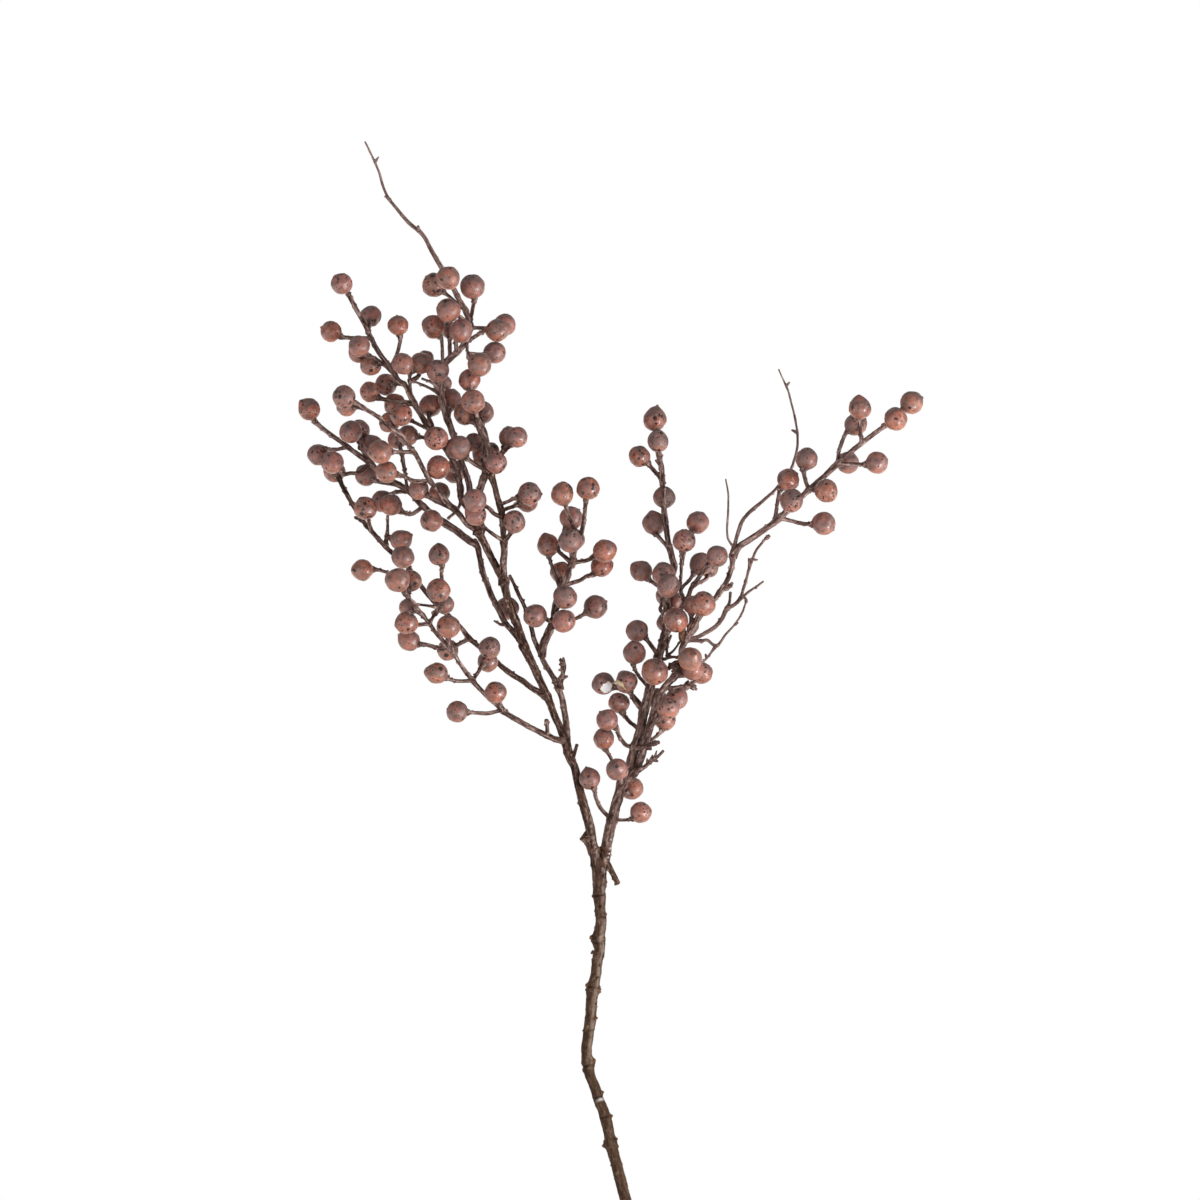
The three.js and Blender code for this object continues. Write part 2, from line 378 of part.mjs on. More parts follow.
// Colours: the jug's glaze, the bark, and the sprays, most of whose surface is pods.
const GLAZE = new THREE.MeshStandardMaterial({ color: 0xd9d2c4, roughness: 0.45, metalness: 0 });
const BARK = new THREE.MeshStandardMaterial({ color: 0x4d3c36, roughness: 0.9, metalness: 0 });
const PODS = new THREE.MeshStandardMaterial({ color: 0x8f6a60, roughness: 0.75, metalness: 0 });

function solidOf(geometry) {
  const bare = geometry.clone();
  bare.deleteAttribute("normal");
  bare.deleteAttribute("uv");
  const merged = mergeVertices(bare, 1e-4);
  return new wasm.Manifold(
    new wasm.Mesh({
      numProp: 3,
      vertProperties: merged.getAttribute("position").array,
      triVerts: new Uint32Array(merged.index.array),
    }),
  );
}

function meshOf(name, solid, material) {
  const { vertProperties, triVerts } = solid.getMesh();
  const geometry = new THREE.BufferGeometry();
  geometry.setAttribute("position", new THREE.BufferAttribute(vertProperties, 3));
  geometry.setIndex(new THREE.BufferAttribute(triVerts, 1));
  geometry.computeVertexNormals();
  const mesh = new THREE.Mesh(geometry, material);
  mesh.name = name;
  return mesh;
}

const fuse = (solids) => solids.reduce((all, solid) => all.add(solid));
const largest = (solid) => solid.decompose().reduce((a, b) => (a.volume() > b.volume() ? a : b));

// Wood

// The value at share t of a list whose values are evenly spaced.
function valueAt(values, t) {
  const place = Math.min(Math.max(t, 0), 1) * (values.length - 1);
  const i = Math.min(Math.floor(place), values.length - 2);
  return values.length === 1 ? values[0] : values[i] + (values[i + 1] - values[i]) * (place - i);
}

// Distance from point p to the stretch a-b, and the nearest point on it, seen from the front
// or, with depth, in space.
function nearestOn(a, b, p, depth) {
  const along = b.clone().sub(a);
  const to = p.clone().sub(a);
  if (!depth) along.y = to.y = 0;
  const t = THREE.MathUtils.clamp(to.dot(along) / Math.max(along.lengthSq(), 1e-9), 0, 1);
  const gap = to.sub(along.multiplyScalar(t)).length();
  return { gap, at: a.clone().lerp(b, t) };
}

// The point of the routes that lies nearest to [x, z], seen from the front.
function rootOn(routes, [x, z]) {
  const p = new THREE.Vector3(x, 0, z);
  let best = { gap: Infinity };
  for (const route of routes)
    for (let i = 1; i < route.length; i++) {
      const found = nearestOn(route[i - 1], route[i], p, false);
      if (found.gap < best.gap) best = found;
    }
  return best;
}

// A twig's points in space with their radii, starting inside the wood that it grows on.
function twigStations({ radii, depths, route }, twigs) {
  const points = route.map(([x, z]) => new THREE.Vector3(x, 0, z));
  const root = twigs.length ? rootOn(twigs, route[0]).at : points[0].clone();
  const lengths = [0];
  for (let i = 1; i < points.length; i++)
    lengths.push(lengths[i - 1] + points[i].distanceTo(points[i - 1]));
  const depthList = [root.y, ...depths];
  return points.map((p, i) => {
    const t = lengths[i] / lengths.at(-1);
    p.y = valueAt(depthList, t);
    return { p: i === 0 ? root : p, r: route[i][2] ?? valueAt(radii, t), own: route[i].length > 2 };
  });
}

// Leaves out the stations between first and last that the straight line nearly passes through.
function thinned(stations) {
  if (stations.length < 3) return stations;
  const [first, last] = [stations[0], stations.at(-1)];
  let worst = { off: 0 };
  stations.slice(1, -1).forEach((s, i) => {
    const off = s.own ? Infinity : nearestOn(first.p, last.p, s.p, true).gap;
    if (off > worst.off) worst = { off, i: i + 1 };
  });
  if (worst.off < THIN_BY) return [first, last];
  return [...thinned(stations.slice(0, worst.i + 1)), ...thinned(stations.slice(worst.i)).slice(1)];
}

// A lathe whose straight axis is bent along the stations. A station with no radius closes an end,
// and a thin one has half of the sides.
function bentLathe(stations, sides, turn) {
  const rows = [...stations];
  if (rows[0].r > 0) rows.unshift({ p: rows[0].p, r: 0 });
  if (rows.at(-1).r > 0) rows.push({ p: rows.at(-1).p, r: 0 });
  const apart = (i, j) => rows[i] && rows[j] && rows[i].p.distanceTo(rows[j].p) > 1e-6;
  let normal;
  const frames = rows.map(({ p }, i) => {
    let before = i - 1;
    let after = i + 1;
    while (before >= 0 && !apart(before, i)) before--;
    while (after < rows.length && !apart(after, i)) after++;
    const along = new THREE.Vector3();
    if (before >= 0) along.add(p.clone().sub(rows[before].p).normalize());
    if (after < rows.length) along.add(rows[after].p.clone().sub(p).normalize());
    along.normalize();
    const guide = normal ?? new THREE.Vector3(Math.cos(turn), Math.sin(turn), 0);
    normal = guide.clone().addScaledVector(along, -guide.dot(along)).normalize();
    return { normal, across: normal.clone().cross(along) };
  });
  const profile = rows.map(({ r }, i) => new THREE.Vector2(r, i));
  const geometry = new THREE.LatheGeometry(profile, sides);
  const position = geometry.getAttribute("position");
  for (let i = 0; i < position.count; i++) {
    const row = i % rows.length;
    const side = Math.floor(i / rows.length) % sides;
    const angle = (2 * Math.PI * (rows[row].thin ? side - (side % 2) : side)) / sides;
    const { normal, across } = frames[row];
    const v = rows[row].p.clone();
    v.addScaledVector(normal, rows[row].r * Math.sin(angle));
    v.addScaledVector(across, rows[row].r * Math.cos(angle));
    position.setXYZ(i, v.x, v.y, v.z);
  }
  return solidOf(geometry);
}

const twigSides = (radius) => (radius > 2.1 ? 6 : radius > 1.6 ? 5 : 4);

// The same stations with the gap round them, past both ends too.
function withGap(stations, sides) {
  const spread = GAP / Math.cos(Math.PI / sides);
  const grown = stations.map(({ p, r }) => ({ p: p.clone(), r: r + spread }));
  const push = (end, next) => end.p.add(end.p.clone().sub(next.p).setLength(GAP));
  push(grown[0], grown[1]);
  push(grown.at(-1), stations.at(-2));
  return grown;
}

// Pods

// A pod's stalk from its root up to the neck, and then the pod's own outline. The root is on the
// nearest twig, or on another pod's stalk where no twig is near.
function podStations({ x, z, radius, behind, stalk }, twigs, stalks) {
  const onTwig = rootOn(twigs, stalk[0]);
  const onStalk = rootOn(stalks, stalk[0]);
  const root = onStalk.gap + TWIG_FIRST < onTwig.gap ? onStalk.at : onTwig.at;
  const centre = new THREE.Vector3(x, root.y + behind, z);
  const bends = stalk.slice(1).map(([bx, bz]) => new THREE.Vector3(bx, 0, bz));
  const route = [root, ...bends, centre];
  const flat = (a, b) => Math.hypot(a.x - b.x, a.z - b.z);
  const lengths = [0];
  for (let i = 1; i < route.length; i++) lengths.push(lengths[i - 1] + flat(route[i], route[i - 1]));
  bends.forEach((bend, i) => {
    bend.y = root.y + (behind * lengths[i + 1]) / lengths.at(-1);
  });
  const axis = centre.clone().sub(route.at(-2)).normalize();
  const stalkRows = thinned(route.slice(0, -1).map((p) => ({ p, r: STALK_RADIUS, thin: true })));
  const podRows = POD_OUTLINE.map(([along, r]) => ({
    p: centre.clone().addScaledVector(axis, along * radius),
    r: r * radius,
  }));
  return { route, rows: [...stalkRows, ...podRows] };
}

// Nodes of the stem

const routes = {}; // the routes of each node's twigs, for what grows on them
const clearances = {}; // each node's wood with the gap round it, which cuts what it carries

function growNode(name, neighbours, items) {
  const twigs = [];
  const stalks = [];
  const solids = [];
  const spaced = [];
  items.forEach((item, index) => {
    if (item.route) {
      const carriers = twigs.length ? twigs : (routes[neighbours[0]] ?? []);
      const stations = thinned(twigStations(item, carriers));
      const sides = twigSides(stations[0].r);
      solids.push(bentLathe(stations, sides, index));
      spaced.push(bentLathe(withGap(stations, sides), sides, index));
      twigs.push(stations.map((s) => s.p));
    } else {
      const { route, rows } = podStations(item, twigs, stalks);
      solids.push(bentLathe(rows, POD_SIDES, index * POD_TURN));
      stalks.push(route);
    }
  });
  routes[name] = twigs;
  clearances[name] = fuse(spaced);
  const cut = neighbours.reduce((solid, other) => solid.subtract(clearances[other]), fuse(solids));
  return largest(cut.simplify(TIDY_BY));
}

// Jug

// A lathe about the upright axis, with the spout drawn out of it.
function turned(outline) {
  const geometry = new THREE.LatheGeometry(
    outline.map(([radius, height]) => new THREE.Vector2(radius, height)),
    JUG_SIDES,
  ).rotateX(Math.PI / 2);
  const position = geometry.getAttribute("position");
  for (let i = 0; i < position.count; i++) {
    const [x, y, z] = [position.getX(i), position.getY(i), position.getZ(i)];
    if (Math.hypot(x, y) < 1) continue;
    const angle = Math.atan2(y, -x) / SPOUT_HALF_ANGLE;
    const up = THREE.MathUtils.clamp((z - SPOUT_FOOT) / (JUG_HEIGHT - SPOUT_FOOT), 0, 1);
    const drawn = Math.exp(-angle * angle);
    position.setX(i, x - SPOUT_REACH * drawn * up ** SPOUT_LEAN);
    position.setZ(i, z + SPOUT_RISE * drawn * up ** SPOUT_LIFT);
  }
  return solidOf(geometry);
}

function strapHandle() {
  const line = new THREE.CatmullRomCurve3(HANDLE_LINE.map(([x, z]) => new THREE.Vector3(x, 0, z)));
  const section = new THREE.Shape(
    new THREE.EllipseCurve(0, 0, HANDLE_WIDTH / 2, HANDLE_THICKNESS / 2).getPoints(HANDLE_SIDES).slice(0, -1),
  );
  return solidOf(new THREE.ExtrudeGeometry(section, { steps: HANDLE_STEPS, extrudePath: line }));
}

function makeJug() {
  const outside = turned([...JUG_OUTSIDE, [0, JUG_HEIGHT]]);
  const mouth = JUG_INSIDE.at(-1)[0] + CUT_FLARE;
  const hollow = turned([...JUG_INSIDE, [mouth, JUG_HEIGHT + CUT_ABOVE], [0, JUG_HEIGHT + CUT_ABOVE]]);
  return outside.add(strapHandle()).subtract(hollow);
}

const model = new THREE.Group();
model.add(meshOf("jug", makeJug(), GLAZE));
for (const [name, neighbours, items] of STEM) {
  const bare = items.every((item) => item.route);
  model.add(meshOf(name, growNode(name, neighbours, items), bare ? BARK : PODS));
}

export default model;
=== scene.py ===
"""The finished look of a dried eucalyptus pod stem in a stoneware jug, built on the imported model.

The lists below give places in millimetres, read from the front as [x, z], in the frame of the
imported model: +X to the right, +Y away from the viewer, +Z up, and the origin under the jug.
"""

import math

import bpy
import numpy as np
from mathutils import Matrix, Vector


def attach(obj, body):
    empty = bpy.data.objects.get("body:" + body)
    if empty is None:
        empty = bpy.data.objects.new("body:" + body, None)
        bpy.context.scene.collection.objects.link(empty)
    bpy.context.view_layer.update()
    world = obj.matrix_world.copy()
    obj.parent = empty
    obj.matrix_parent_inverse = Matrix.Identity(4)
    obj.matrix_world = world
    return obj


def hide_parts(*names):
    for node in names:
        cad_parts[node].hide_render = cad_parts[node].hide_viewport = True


MM = 0.001
SEED = 11

# Camera: the picture's middle as (x, z), the width that it shows, and its distance
VIEW_MIDDLE = (-57.2, 605.0)
VIEW_WIDTH = 780.0
VIEW_DISTANCE = 16000.0
SENSOR = 36.0

# Wood
STEP = 0.65  # between the rings of a twig's mesh
SIDES = ((3, 24), (2, 18), (1.4, 14), (0, 12))  # points around, by what the widest radius is over
BLUNT_RINGS = ((0.45, 0.86), (0.85, 0.5))  # how far on and how wide, at a blunt end
WANDER = 0.35  # how far a twig strays from its line
STALK_RADIUS = 1.25
STALK_FOOT = 0.7  # added to a stalk's radius at its root, and the next at its pod
STALK_COLLAR = 1.2
TWIG_FIRST = 2.5  # a pod's stalk leaves another one only where that is this much nearer
KNUCKLE_LENGTH = 2.2
KNUCKLE = 0.24  # how far it stands out, as a share of the twig's radius there
STALK_KNUCKLE = 0.3  # and in millimetres where a stalk grows
SPUR_SPACING = 3.0
ROOT_FLARE = 0.4  # how much wider a twig is at its root
FLARE_LENGTH = 3.4
FLARED_BELOW = 2.6  # the radius of the thickest wood that widens so; a limb just goes on
CUT_LENGTH = 1.5  # how far the brown of a cut end reaches, and that of a husk
HUSK_LENGTH = 20
NOISE_OFFSET = 37.7  # keeps the bark's noise away from its own 0

# Pods
POD_SWELL = 1.03
POD_COLUMNS = 36
POD_ROWS = 28
POD_NOSES = [0.0, 0.03, 0.07, 0.14]  # how far it stands out, as a share of the radius
POD_CROWNS = [0.0, 0.06, 0.12, 0.19]

# Random draws: a node's twigs start at its own seed, and its stalks and pods so much later
NODE_SEEDS = 100
STALK_SEEDS = 40
POD_SEEDS = 60

# Jug, as [radius, height], with the same outlines as the solid
JUG_HEIGHT = 200.0
FLOOR_THICKNESS = 7.0
JUG_COLUMNS = 120
JUG_OUTSIDE = [
    [47, 0], [49.2, 1.6], [50, 4], [55, 24], [60.2, 50], [61, 72], [57.5, 100], [48.8, 129],
    [39.8, 152], [36, 170], [36, 186], [37.4, 196], [37.2, 199],
]
JUG_LIP = [36, 200.6]
JUG_INSIDE = [
    [34.4, 199.2], [33.2, 196], [31.3, 186], [31.4, 168], [35.2, 149], [44, 126], [52.7, 98],
    [56.2, 72], [55.4, 50], [50.6, 24], [47.6, 12], [44, FLOOR_THICKNESS],
]
SPOUT_FOOT = 148.0
SPOUT_REACH = 8.6
SPOUT_RISE = 3.0
SPOUT_HALF_ANGLE = 0.42
SPOUT_LEAN = 1.5
SPOUT_LIFT = 3.0
HANDLE_LINE = [
    [33.4, 175.5], [52, 184], [74, 178], [87, 159], [91, 131], [85, 103], [72, 84], [58, 73.5],
]
HANDLE_WIDTH = 21.0
HANDLE_THICKNESS = 8.0
HANDLE_SIDES = 28


def twig(radii, depths, *route):
    """Its radii run evenly along it, and so do its depths after the one it takes from its root."""
    return {"radii": radii, "depths": depths, "route": route}


def pod(x, z, radius, behind, *stalk):
    """behind is how far it stands behind its stalk's root. The stalk starts at the root."""
    return {"x": x, "z": z, "radius": radius, "behind": behind, "stalk": stalk}


# Every node of the stem, with the node that carries it
STEM = [
    ["trunk", None, [
      twig([3.6], [0, 0], [17, 8.25, 3.5], [-35, 195, 3.4], [-41, 217, 3.6], [-49, 247, 3.6],
        [-53.5, 267, 3.7], [-58, 281, 3.5], [-63.6, 297, 3.5], [-64.8, 303.5, 4.2],
        [-65.9, 310, 3.5], [-64.2, 326, 3.6], [-61.8, 352, 3.7], [-59.6, 365, 3.5],
        [-57.8, 378, 3.6], [-58.4, 384, 4.5], [-57.2, 390, 3.7], [-57, 405, 3.6], [-57.6, 414, 4],
        [-57.7, 423, 4.5], [-57.9, 431, 4.6], [-58, 437, 3]),
      twig([3.2, 3.2], [-0.5, -1], [-58.5, 421], [-60.3, 434], [-61.5, 443.5]),
      twig([3.5, 3.7], [0.5, 1], [-57, 421], [-55, 434], [-53.3, 443.5]),
      twig([2.2, 1.7], [-1, -4], [-54, 436], [-51.7, 432.2], [-48.5, 426.5], [-45.6, 420.9]),
      twig([1.6, 0.9], [-1, -1], [-52, 252], [-54.7, 253]),
      twig([1.5, 0.8], [0, 0], [-49, 252], [-46, 255]),
      twig([1.6, 1], [0, -1], [-64, 304], [-60.4, 306]),
      twig([1.3, 0.8], [-1, -2], [-62, 331], [-59, 333.5]),
      twig([1.6, 0.9], [-1, -1], [-62, 352], [-66.3, 355]),
      twig([1.4, 0.9], [1, 2], [-60, 350], [-56.8, 352]),
      twig([1.4, 0.8], [0, 1], [-59, 374], [-62.4, 376.5]),
      twig([1.5, 0.9], [-1, -2], [-59, 383], [-63.6, 385.5]),
      twig([1.4, 0.8], [0, 0], [-58, 411], [-62.2, 413]),
    ]],
    ["left_limb", "trunk", [
      twig([3.2, 2.8, 2.4, 2.6, 2.5], [-1, -2], [-61.6, 443.5], [-62.7, 450], [-64.6, 460],
        [-67.3, 471], [-70.3, 482], [-73, 493], [-76.3, 502], [-79.2, 511], [-82.4, 520],
        [-86.6, 530], [-91, 541], [-95.8, 552], [-100.7, 563], [-106.1, 574, 3], [-110, 585],
        [-113.3, 594], [-117, 605], [-118.5, 612], [-120, 620]),
      twig([2.4, 2.2], [-1, 0], [-119.5, 616], [-124, 625], [-128, 633], [-131.5, 641],
        [-134.5, 646, 2.4], [-136, 649.5, 3.5], [-137.5, 652, 2.2]),
      twig([3.1, 0.9], [-1, -2], [-64, 449.5], [-70, 449.7]),
      twig([1.3, 1.1], [-3, -4], [-75.5, 501], [-74, 505], [-72.2, 511]),
      pod(-117.5, 600, 7.4, 20, [-112, 592]),
    ]],
    ["left_low_front_spray", "left_limb", [
      twig([2, 1.6, 1.4, 1.2], [-24, -42], [-81, 513], [-86, 514.5], [-92, 517], [-100, 521],
        [-108, 525.5], [-115, 529.5], [-120, 533], [-124, 537], [-129, 541], [-134, 546],
        [-140, 553], [-145, 559], [-149, 565], [-153, 571], [-158, 577], [-163, 583], [-168, 590],
        [-171, 594], [-176, 600], [-181, 606], [-184, 610]),
      twig([1, 1.5], [-7, -9], [-91.5, 517], [-91.5, 522], [-92, 527]),
      twig([1, 0.9], [-37, -38], [-168, 590], [-164, 597], [-163, 602]),
      pod(-150, 532.5, 6.8, -6, [-121, 533.5], [-130, 531.5], [-142, 532]),
      pod(-125, 545, 6.8, -17, [-120.5, 533]),
      pod(-163.5, 557.5, 6.8, -3, [-140, 552.5], [-150, 552.5], [-156, 554]),
      pod(-130, 565, 6.6, 20, [-140, 553], [-137, 557], [-134, 562]),
      pod(-181.5, 579, 7, 8, [-155, 573], [-163, 574], [-170, 576], [-175, 576.5]),
      pod(-155.5, 588, 7.4, -9, [-152, 569], [-154, 574], [-155.5, 580]),
      pod(-183, 590, 7.3, -14, [-168, 589.5], [-175, 589]),
      pod(-181.7, 600.2, 6, 17, [-172, 595]),
      pod(-162, 611.3, 7.5, -12, [-163, 602]),
      pod(-158, 602, 6.2, 11, [-164, 596]),
      pod(-188.5, 618, 7.8, -7, [-184, 610]),
      pod(-180, 617.5, 6.8, 12, [-182, 607]),
    ]],
    ["left_low_back_spray", "left_limb", [
      twig([1.9, 1.6, 1.5, 1.4], [26, 44], [-93.5, 542, 2.4], [-101.5, 547.5], [-107.3, 552],
        [-113.5, 556], [-119.5, 560.5], [-124.5, 565], [-130, 570], [-136, 575], [-142, 580],
        [-148, 587], [-155, 594], [-160, 599], [-167, 606], [-172, 612], [-178, 620], [-183, 627],
        [-188, 632], [-193, 636], [-198, 641], [-202, 645], [-208, 652], [-213, 658], [-218, 666],
        [-222, 673], [-225, 679], [-227, 684]),
      twig([1.3, 0.9], [35, 33], [-197, 640], [-196, 650], [-195.5, 660]),
      twig([1.2, 0.8], [42, 42], [-213, 657], [-217, 659]),
      pod(-230.5, 689, 7, 12, [-227, 684]),
      pod(-210, 665, 7.2, -16, [-206, 650]),
      pod(-186.6, 644.2, 6.8, -4, [-196, 647], [-192.5, 645]),
      pod(-185.5, 633, 7.2, -17, [-178, 620]),
      pod(-212, 624.5, 7, -3, [-181, 624], [-193, 622.5], [-201, 624.5], [-205, 625]),
      pod(-162, 634.5, 6.8, -4, [-159, 598], [-160, 618], [-160.5, 622], [-160, 627]),
      pod(-129, 574, 6.8, -28, [-133, 573]),
      pod(-156.6, 572.4, 6.8, 18, [-142, 580]),
    ]],
    ["left_inner_spray", "left_limb", [
      twig([2.1, 1.9, 1.6, 1.1], [14, 20], [-78, 506], [-79, 522], [-80, 531], [-82, 540],
        [-84, 547], [-86, 552], [-91, 560], [-95, 568], [-98, 574], [-100, 580], [-102, 588],
        [-106, 600], [-110, 608], [-113, 615], [-116, 621]),
      twig([2, 2], [10, 8], [-84, 547], [-83.3, 552, 2.1], [-81.6, 557, 1.4], [-80.9, 561.5, 1.7],
        [-81, 567.6, 0.6]),
      twig([0.9, 0.6], [9, 8], [-81.5, 560], [-83.9, 559.4]),
      twig([0.9, 0.6], [8, 7], [-81.2, 562.5], [-83.5, 563.2]),
      twig([0.8, 0.5], [8, 7], [-81, 565], [-83.1, 565.8]),
      twig([1.4, 0.7], [10, 10], [-82, 554], [-78.3, 555.3]),
      twig([2.8, 2.3, 1.8, 1.2], [0, -12], [-95, 568], [-94, 576], [-91, 583], [-88, 590],
        [-86.5, 597], [-85.5, 603], [-83, 612], [-81, 615], [-78.5, 620], [-77, 626], [-75, 630],
        [-74, 636], [-71, 645], [-69, 651], [-67, 663], [-66.5, 669]),
      pod(-65, 678, 7.3, -5, [-66.5, 669]),
      pod(-99.5, 595, 7.3, -12, [-88, 590], [-93, 593]),
      pod(-80.5, 591.5, 7.4, -18, [-90, 585]),
      pod(-60, 600.5, 7.5, 4, [-88, 590], [-73, 593], [-66, 597]),
      pod(-80, 607, 7.5, -19, [-86.5, 597]),
      pod(-82.5, 623, 6.9, 17, [-84, 609]),
      pod(-91, 641, 7.2, 9, [-83, 612], [-90, 632]),
      pod(-56, 627, 6.8, 5, [-81, 614], [-70, 618], [-66, 620.5], [-62, 621.5]),
      pod(-54, 637, 7.3, -8, [-75.5, 629], [-65, 631], [-62, 632.5]),
      pod(-76.4, 643.4, 7.5, -16, [-76, 629]),
      pod(-74, 644.6, 6.9, 16, [-75, 632]),
      pod(-75.9, 658.2, 7.3, 9, [-75.5, 629], [-80, 633], [-84, 637], [-83, 644]),
      pod(-81.5, 674, 7.3, -7, [-71.5, 644], [-75, 654], [-78, 661], [-80, 668]),
    ]],
    ["left_outer_spray", "left_limb", [
      twig([1.9, 1.9], [10, 18], [-107, 575], [-115, 586], [-120, 592], [-123, 598], [-127, 606],
        [-130, 614], [-133, 622], [-135, 631], [-137, 640], [-139, 644]),
      twig([2.6, 2, 1.7, 1.4], [30, 36], [-138, 641], [-143, 644], [-150, 649.5], [-160, 656],
        [-168, 662], [-175, 669], [-183, 677], [-190, 681], [-198, 686], [-204, 691], [-207, 694],
        [-214, 699], [-222, 705], [-230, 711], [-238, 717], [-243, 721]),
      twig([1.1, 0.7], [6, 4], [-118, 590], [-121, 589], [-126, 591.5]),
      twig([1.1, 0.9], [26, 24], [-183, 677], [-184, 688], [-185.5, 696, 1.5], [-186, 700]),
      twig([1.1, 0.9], [34, 36], [-205, 692], [-209, 698], [-213, 704], [-214, 708]),
      pod(-247, 729.5, 7, -6, [-243, 721]),
      pod(-241, 699.5, 6.7, 9, [-222, 704.5], [-229, 703], [-236, 703]),
      pod(-219.5, 714.5, 7.2, -14, [-214, 708]),
      pod(-214, 716, 6.5, 20, [-213, 704]),
      pod(-206, 706, 7, 17, [-207, 695]),
      pod(-231.5, 694.5, 7, -6, [-208, 693], [-214, 688], [-220, 687.5], [-224, 687]),
      pod(-210, 686.5, 7, 13, [-188, 680], [-195, 681], [-203, 682.5]),
      pod(-199, 669.5, 7, 14, [-182, 676], [-191, 675]),
      pod(-193, 667, 7, -6, [-172, 666], [-180, 661], [-186, 662.5]),
      pod(-167, 656.5, 7, -19, [-158, 654.5]),
      pod(-189.2, 710, 6.3, 17, [-186, 700]),
    ]],
    ["left_front_spray", "left_limb", [
      twig([1.8, 1.5, 1.3], [-22, -38], [-137, 650], [-143, 654], [-150, 662], [-158, 670],
        [-165, 679], [-168, 683], [-172, 690], [-177, 700], [-180, 704], [-186, 711], [-192, 716],
        [-197, 720], [-203, 725], [-210, 729], [-216, 733]),
      pod(-223.5, 736.5, 7.3, -10, [-216, 733]),
      pod(-222, 731, 6.5, 10, [-211, 730]),
      pod(-200, 701, 7.5, -5, [-178, 701], [-187, 701], [-193, 701]),
      pod(-196, 688, 7, -3, [-168, 682], [-178, 682.5], [-184, 685], [-189, 686.5]),
      pod(-175, 677, 6.4, 8, [-152, 663], [-160, 667.5], [-167, 671]),
      pod(-162, 674.5, 6.8, 20, [-152, 664]),
      pod(-194, 720.3, 6.5, 27, [-187, 712]),
    ]],
    ["left_tall_spray", "left_limb", [
      twig([2.1, 2.1, 2.1, 2, 1.75, 1.45, 1, 0.6], [8, 12, 15, 15, 12, 10, 8, 6], [-136, 650],
        [-139, 660], [-141, 670], [-142, 679], [-145, 689], [-148, 697], [-151, 708], [-154, 716],
        [-158, 728], [-161, 738], [-162, 748], [-159, 758], [-150, 766.5], [-145, 772],
        [-142.5, 778], [-142, 784], [-144.5, 793], [-149, 801], [-153, 808], [-158, 817],
        [-164, 827], [-167.5, 833], [-171, 840], [-175, 845], [-180, 849], [-185, 854], [-190, 860],
        [-195, 867], [-198, 874], [-200, 880], [-202.5, 887], [-204, 891], [-207, 897],
        [-210, 903]),
      twig([1.1, 0.7], [17, 19], [-161, 739], [-170, 744], [-180, 748]),
      twig([1.1, 0.8], [9, 7], [-161, 741], [-166, 746], [-173, 749]),
      twig([0.7, 0.5], [6, 6], [-203, 890], [-201.2, 893]),
      twig([0.8, 0.6], [6, 6], [-194, 865], [-197, 867.5]),
      twig([1, 0.8], [5, 4], [-175, 845], [-175.5, 848]),
      twig([0.9, 0.9], [3, -4], [-144.5, 772], [-143.5, 767], [-142.5, 763]),
      pod(-162.5, 754, 7.3, -19, [-161.5, 744]),
      pod(-160, 746, 6, 19, [-160, 735]),
      pod(-165.5, 783, 7.5, -3, [-160, 757], [-160.5, 775]),
      pod(-147.5, 780, 7.5, -14, [-150, 766], [-151, 773]),
      pod(-155, 781, 5.5, 14, [-155, 762]),
      pod(-123.5, 780.4, 7.3, -7, [-145, 772], [-136, 778], [-131, 781]),
      pod(-119.1, 784.2, 7, 8, [-142, 782], [-139, 782], [-131, 782]),
      pod(-135.6, 757.9, 7.7, -9, [-142.5, 763]),
      pod(-125.5, 766, 7.2, 14, [-143, 765], [-134, 765]),
      pod(-154, 735.2, 6.8, 14, [-156, 722]),
      pod(-140, 809, 7.7, -2, [-142, 783], [-139, 801]),
      pod(-165.6, 810, 7.5, 4, [-144.5, 793], [-148, 796], [-156, 803]),
      pod(-156, 814.5, 7.5, -18, [-150, 803]),
      pod(-156, 793.3, 7.5, -14, [-142, 784], [-148, 789]),
    ]],
    ["left_middle_spray", "left_tall_spray", [
      twig([2, 1.9, 1.6, 1.4], [4, 8], [-139, 659], [-143, 664.5], [-147, 671], [-148, 680],
        [-151, 692], [-155, 699], [-159, 705], [-165, 712], [-169, 717], [-173, 724], [-178, 733],
        [-181, 738], [-184, 745], [-188, 748], [-194, 757], [-200, 765], [-207, 777], [-213, 789],
        [-219, 800], [-221, 804]),
      twig([1.1, 0.9], [4, 0], [-191, 752], [-197, 757], [-203, 762], [-209, 764]),
      twig([1.1, 0.9], [5, 4], [-180, 736], [-181, 745], [-181, 753]),
      twig([1, 0.9], [-3, -8], [-147, 671], [-150, 663], [-156, 658]),
      pod(-225, 810.5, 7, -8, [-221, 804]),
      pod(-232, 779.5, 6.8, -2, [-206, 775], [-225, 776]),
      pod(-206.5, 790, 6.7, 18, [-208, 779]),
      pod(-213.5, 770, 6.6, -13, [-209, 764]),
      pod(-214.4, 765.8, 6.3, 19.5, [-207, 763]),
      pod(-206.6, 757.6, 6.6, 9, [-199, 759]),
      pod(-188.5, 783.5, 6.5, 3, [-193, 756], [-189, 766], [-187, 775]),
      pod(-185.4, 758.6, 7, -13, [-181, 753]),
      pod(-173.6, 759, 6.7, 3, [-181, 752]),
      pod(-171, 762, 5.5, 18, [-180.8, 747], [-176, 750]),
      pod(-197, 745, 6.8, 18, [-185, 745.5]),
      pod(-207, 740.5, 6.5, 6, [-178, 733], [-197, 735.5], [-202, 737]),
      pod(-191, 732.2, 7, 12, [-178, 732]),
      pod(-186.6, 725, 7, -20, [-168, 716], [-181, 722]),
      pod(-163.5, 710, 7.5, -19, [-156, 700]),
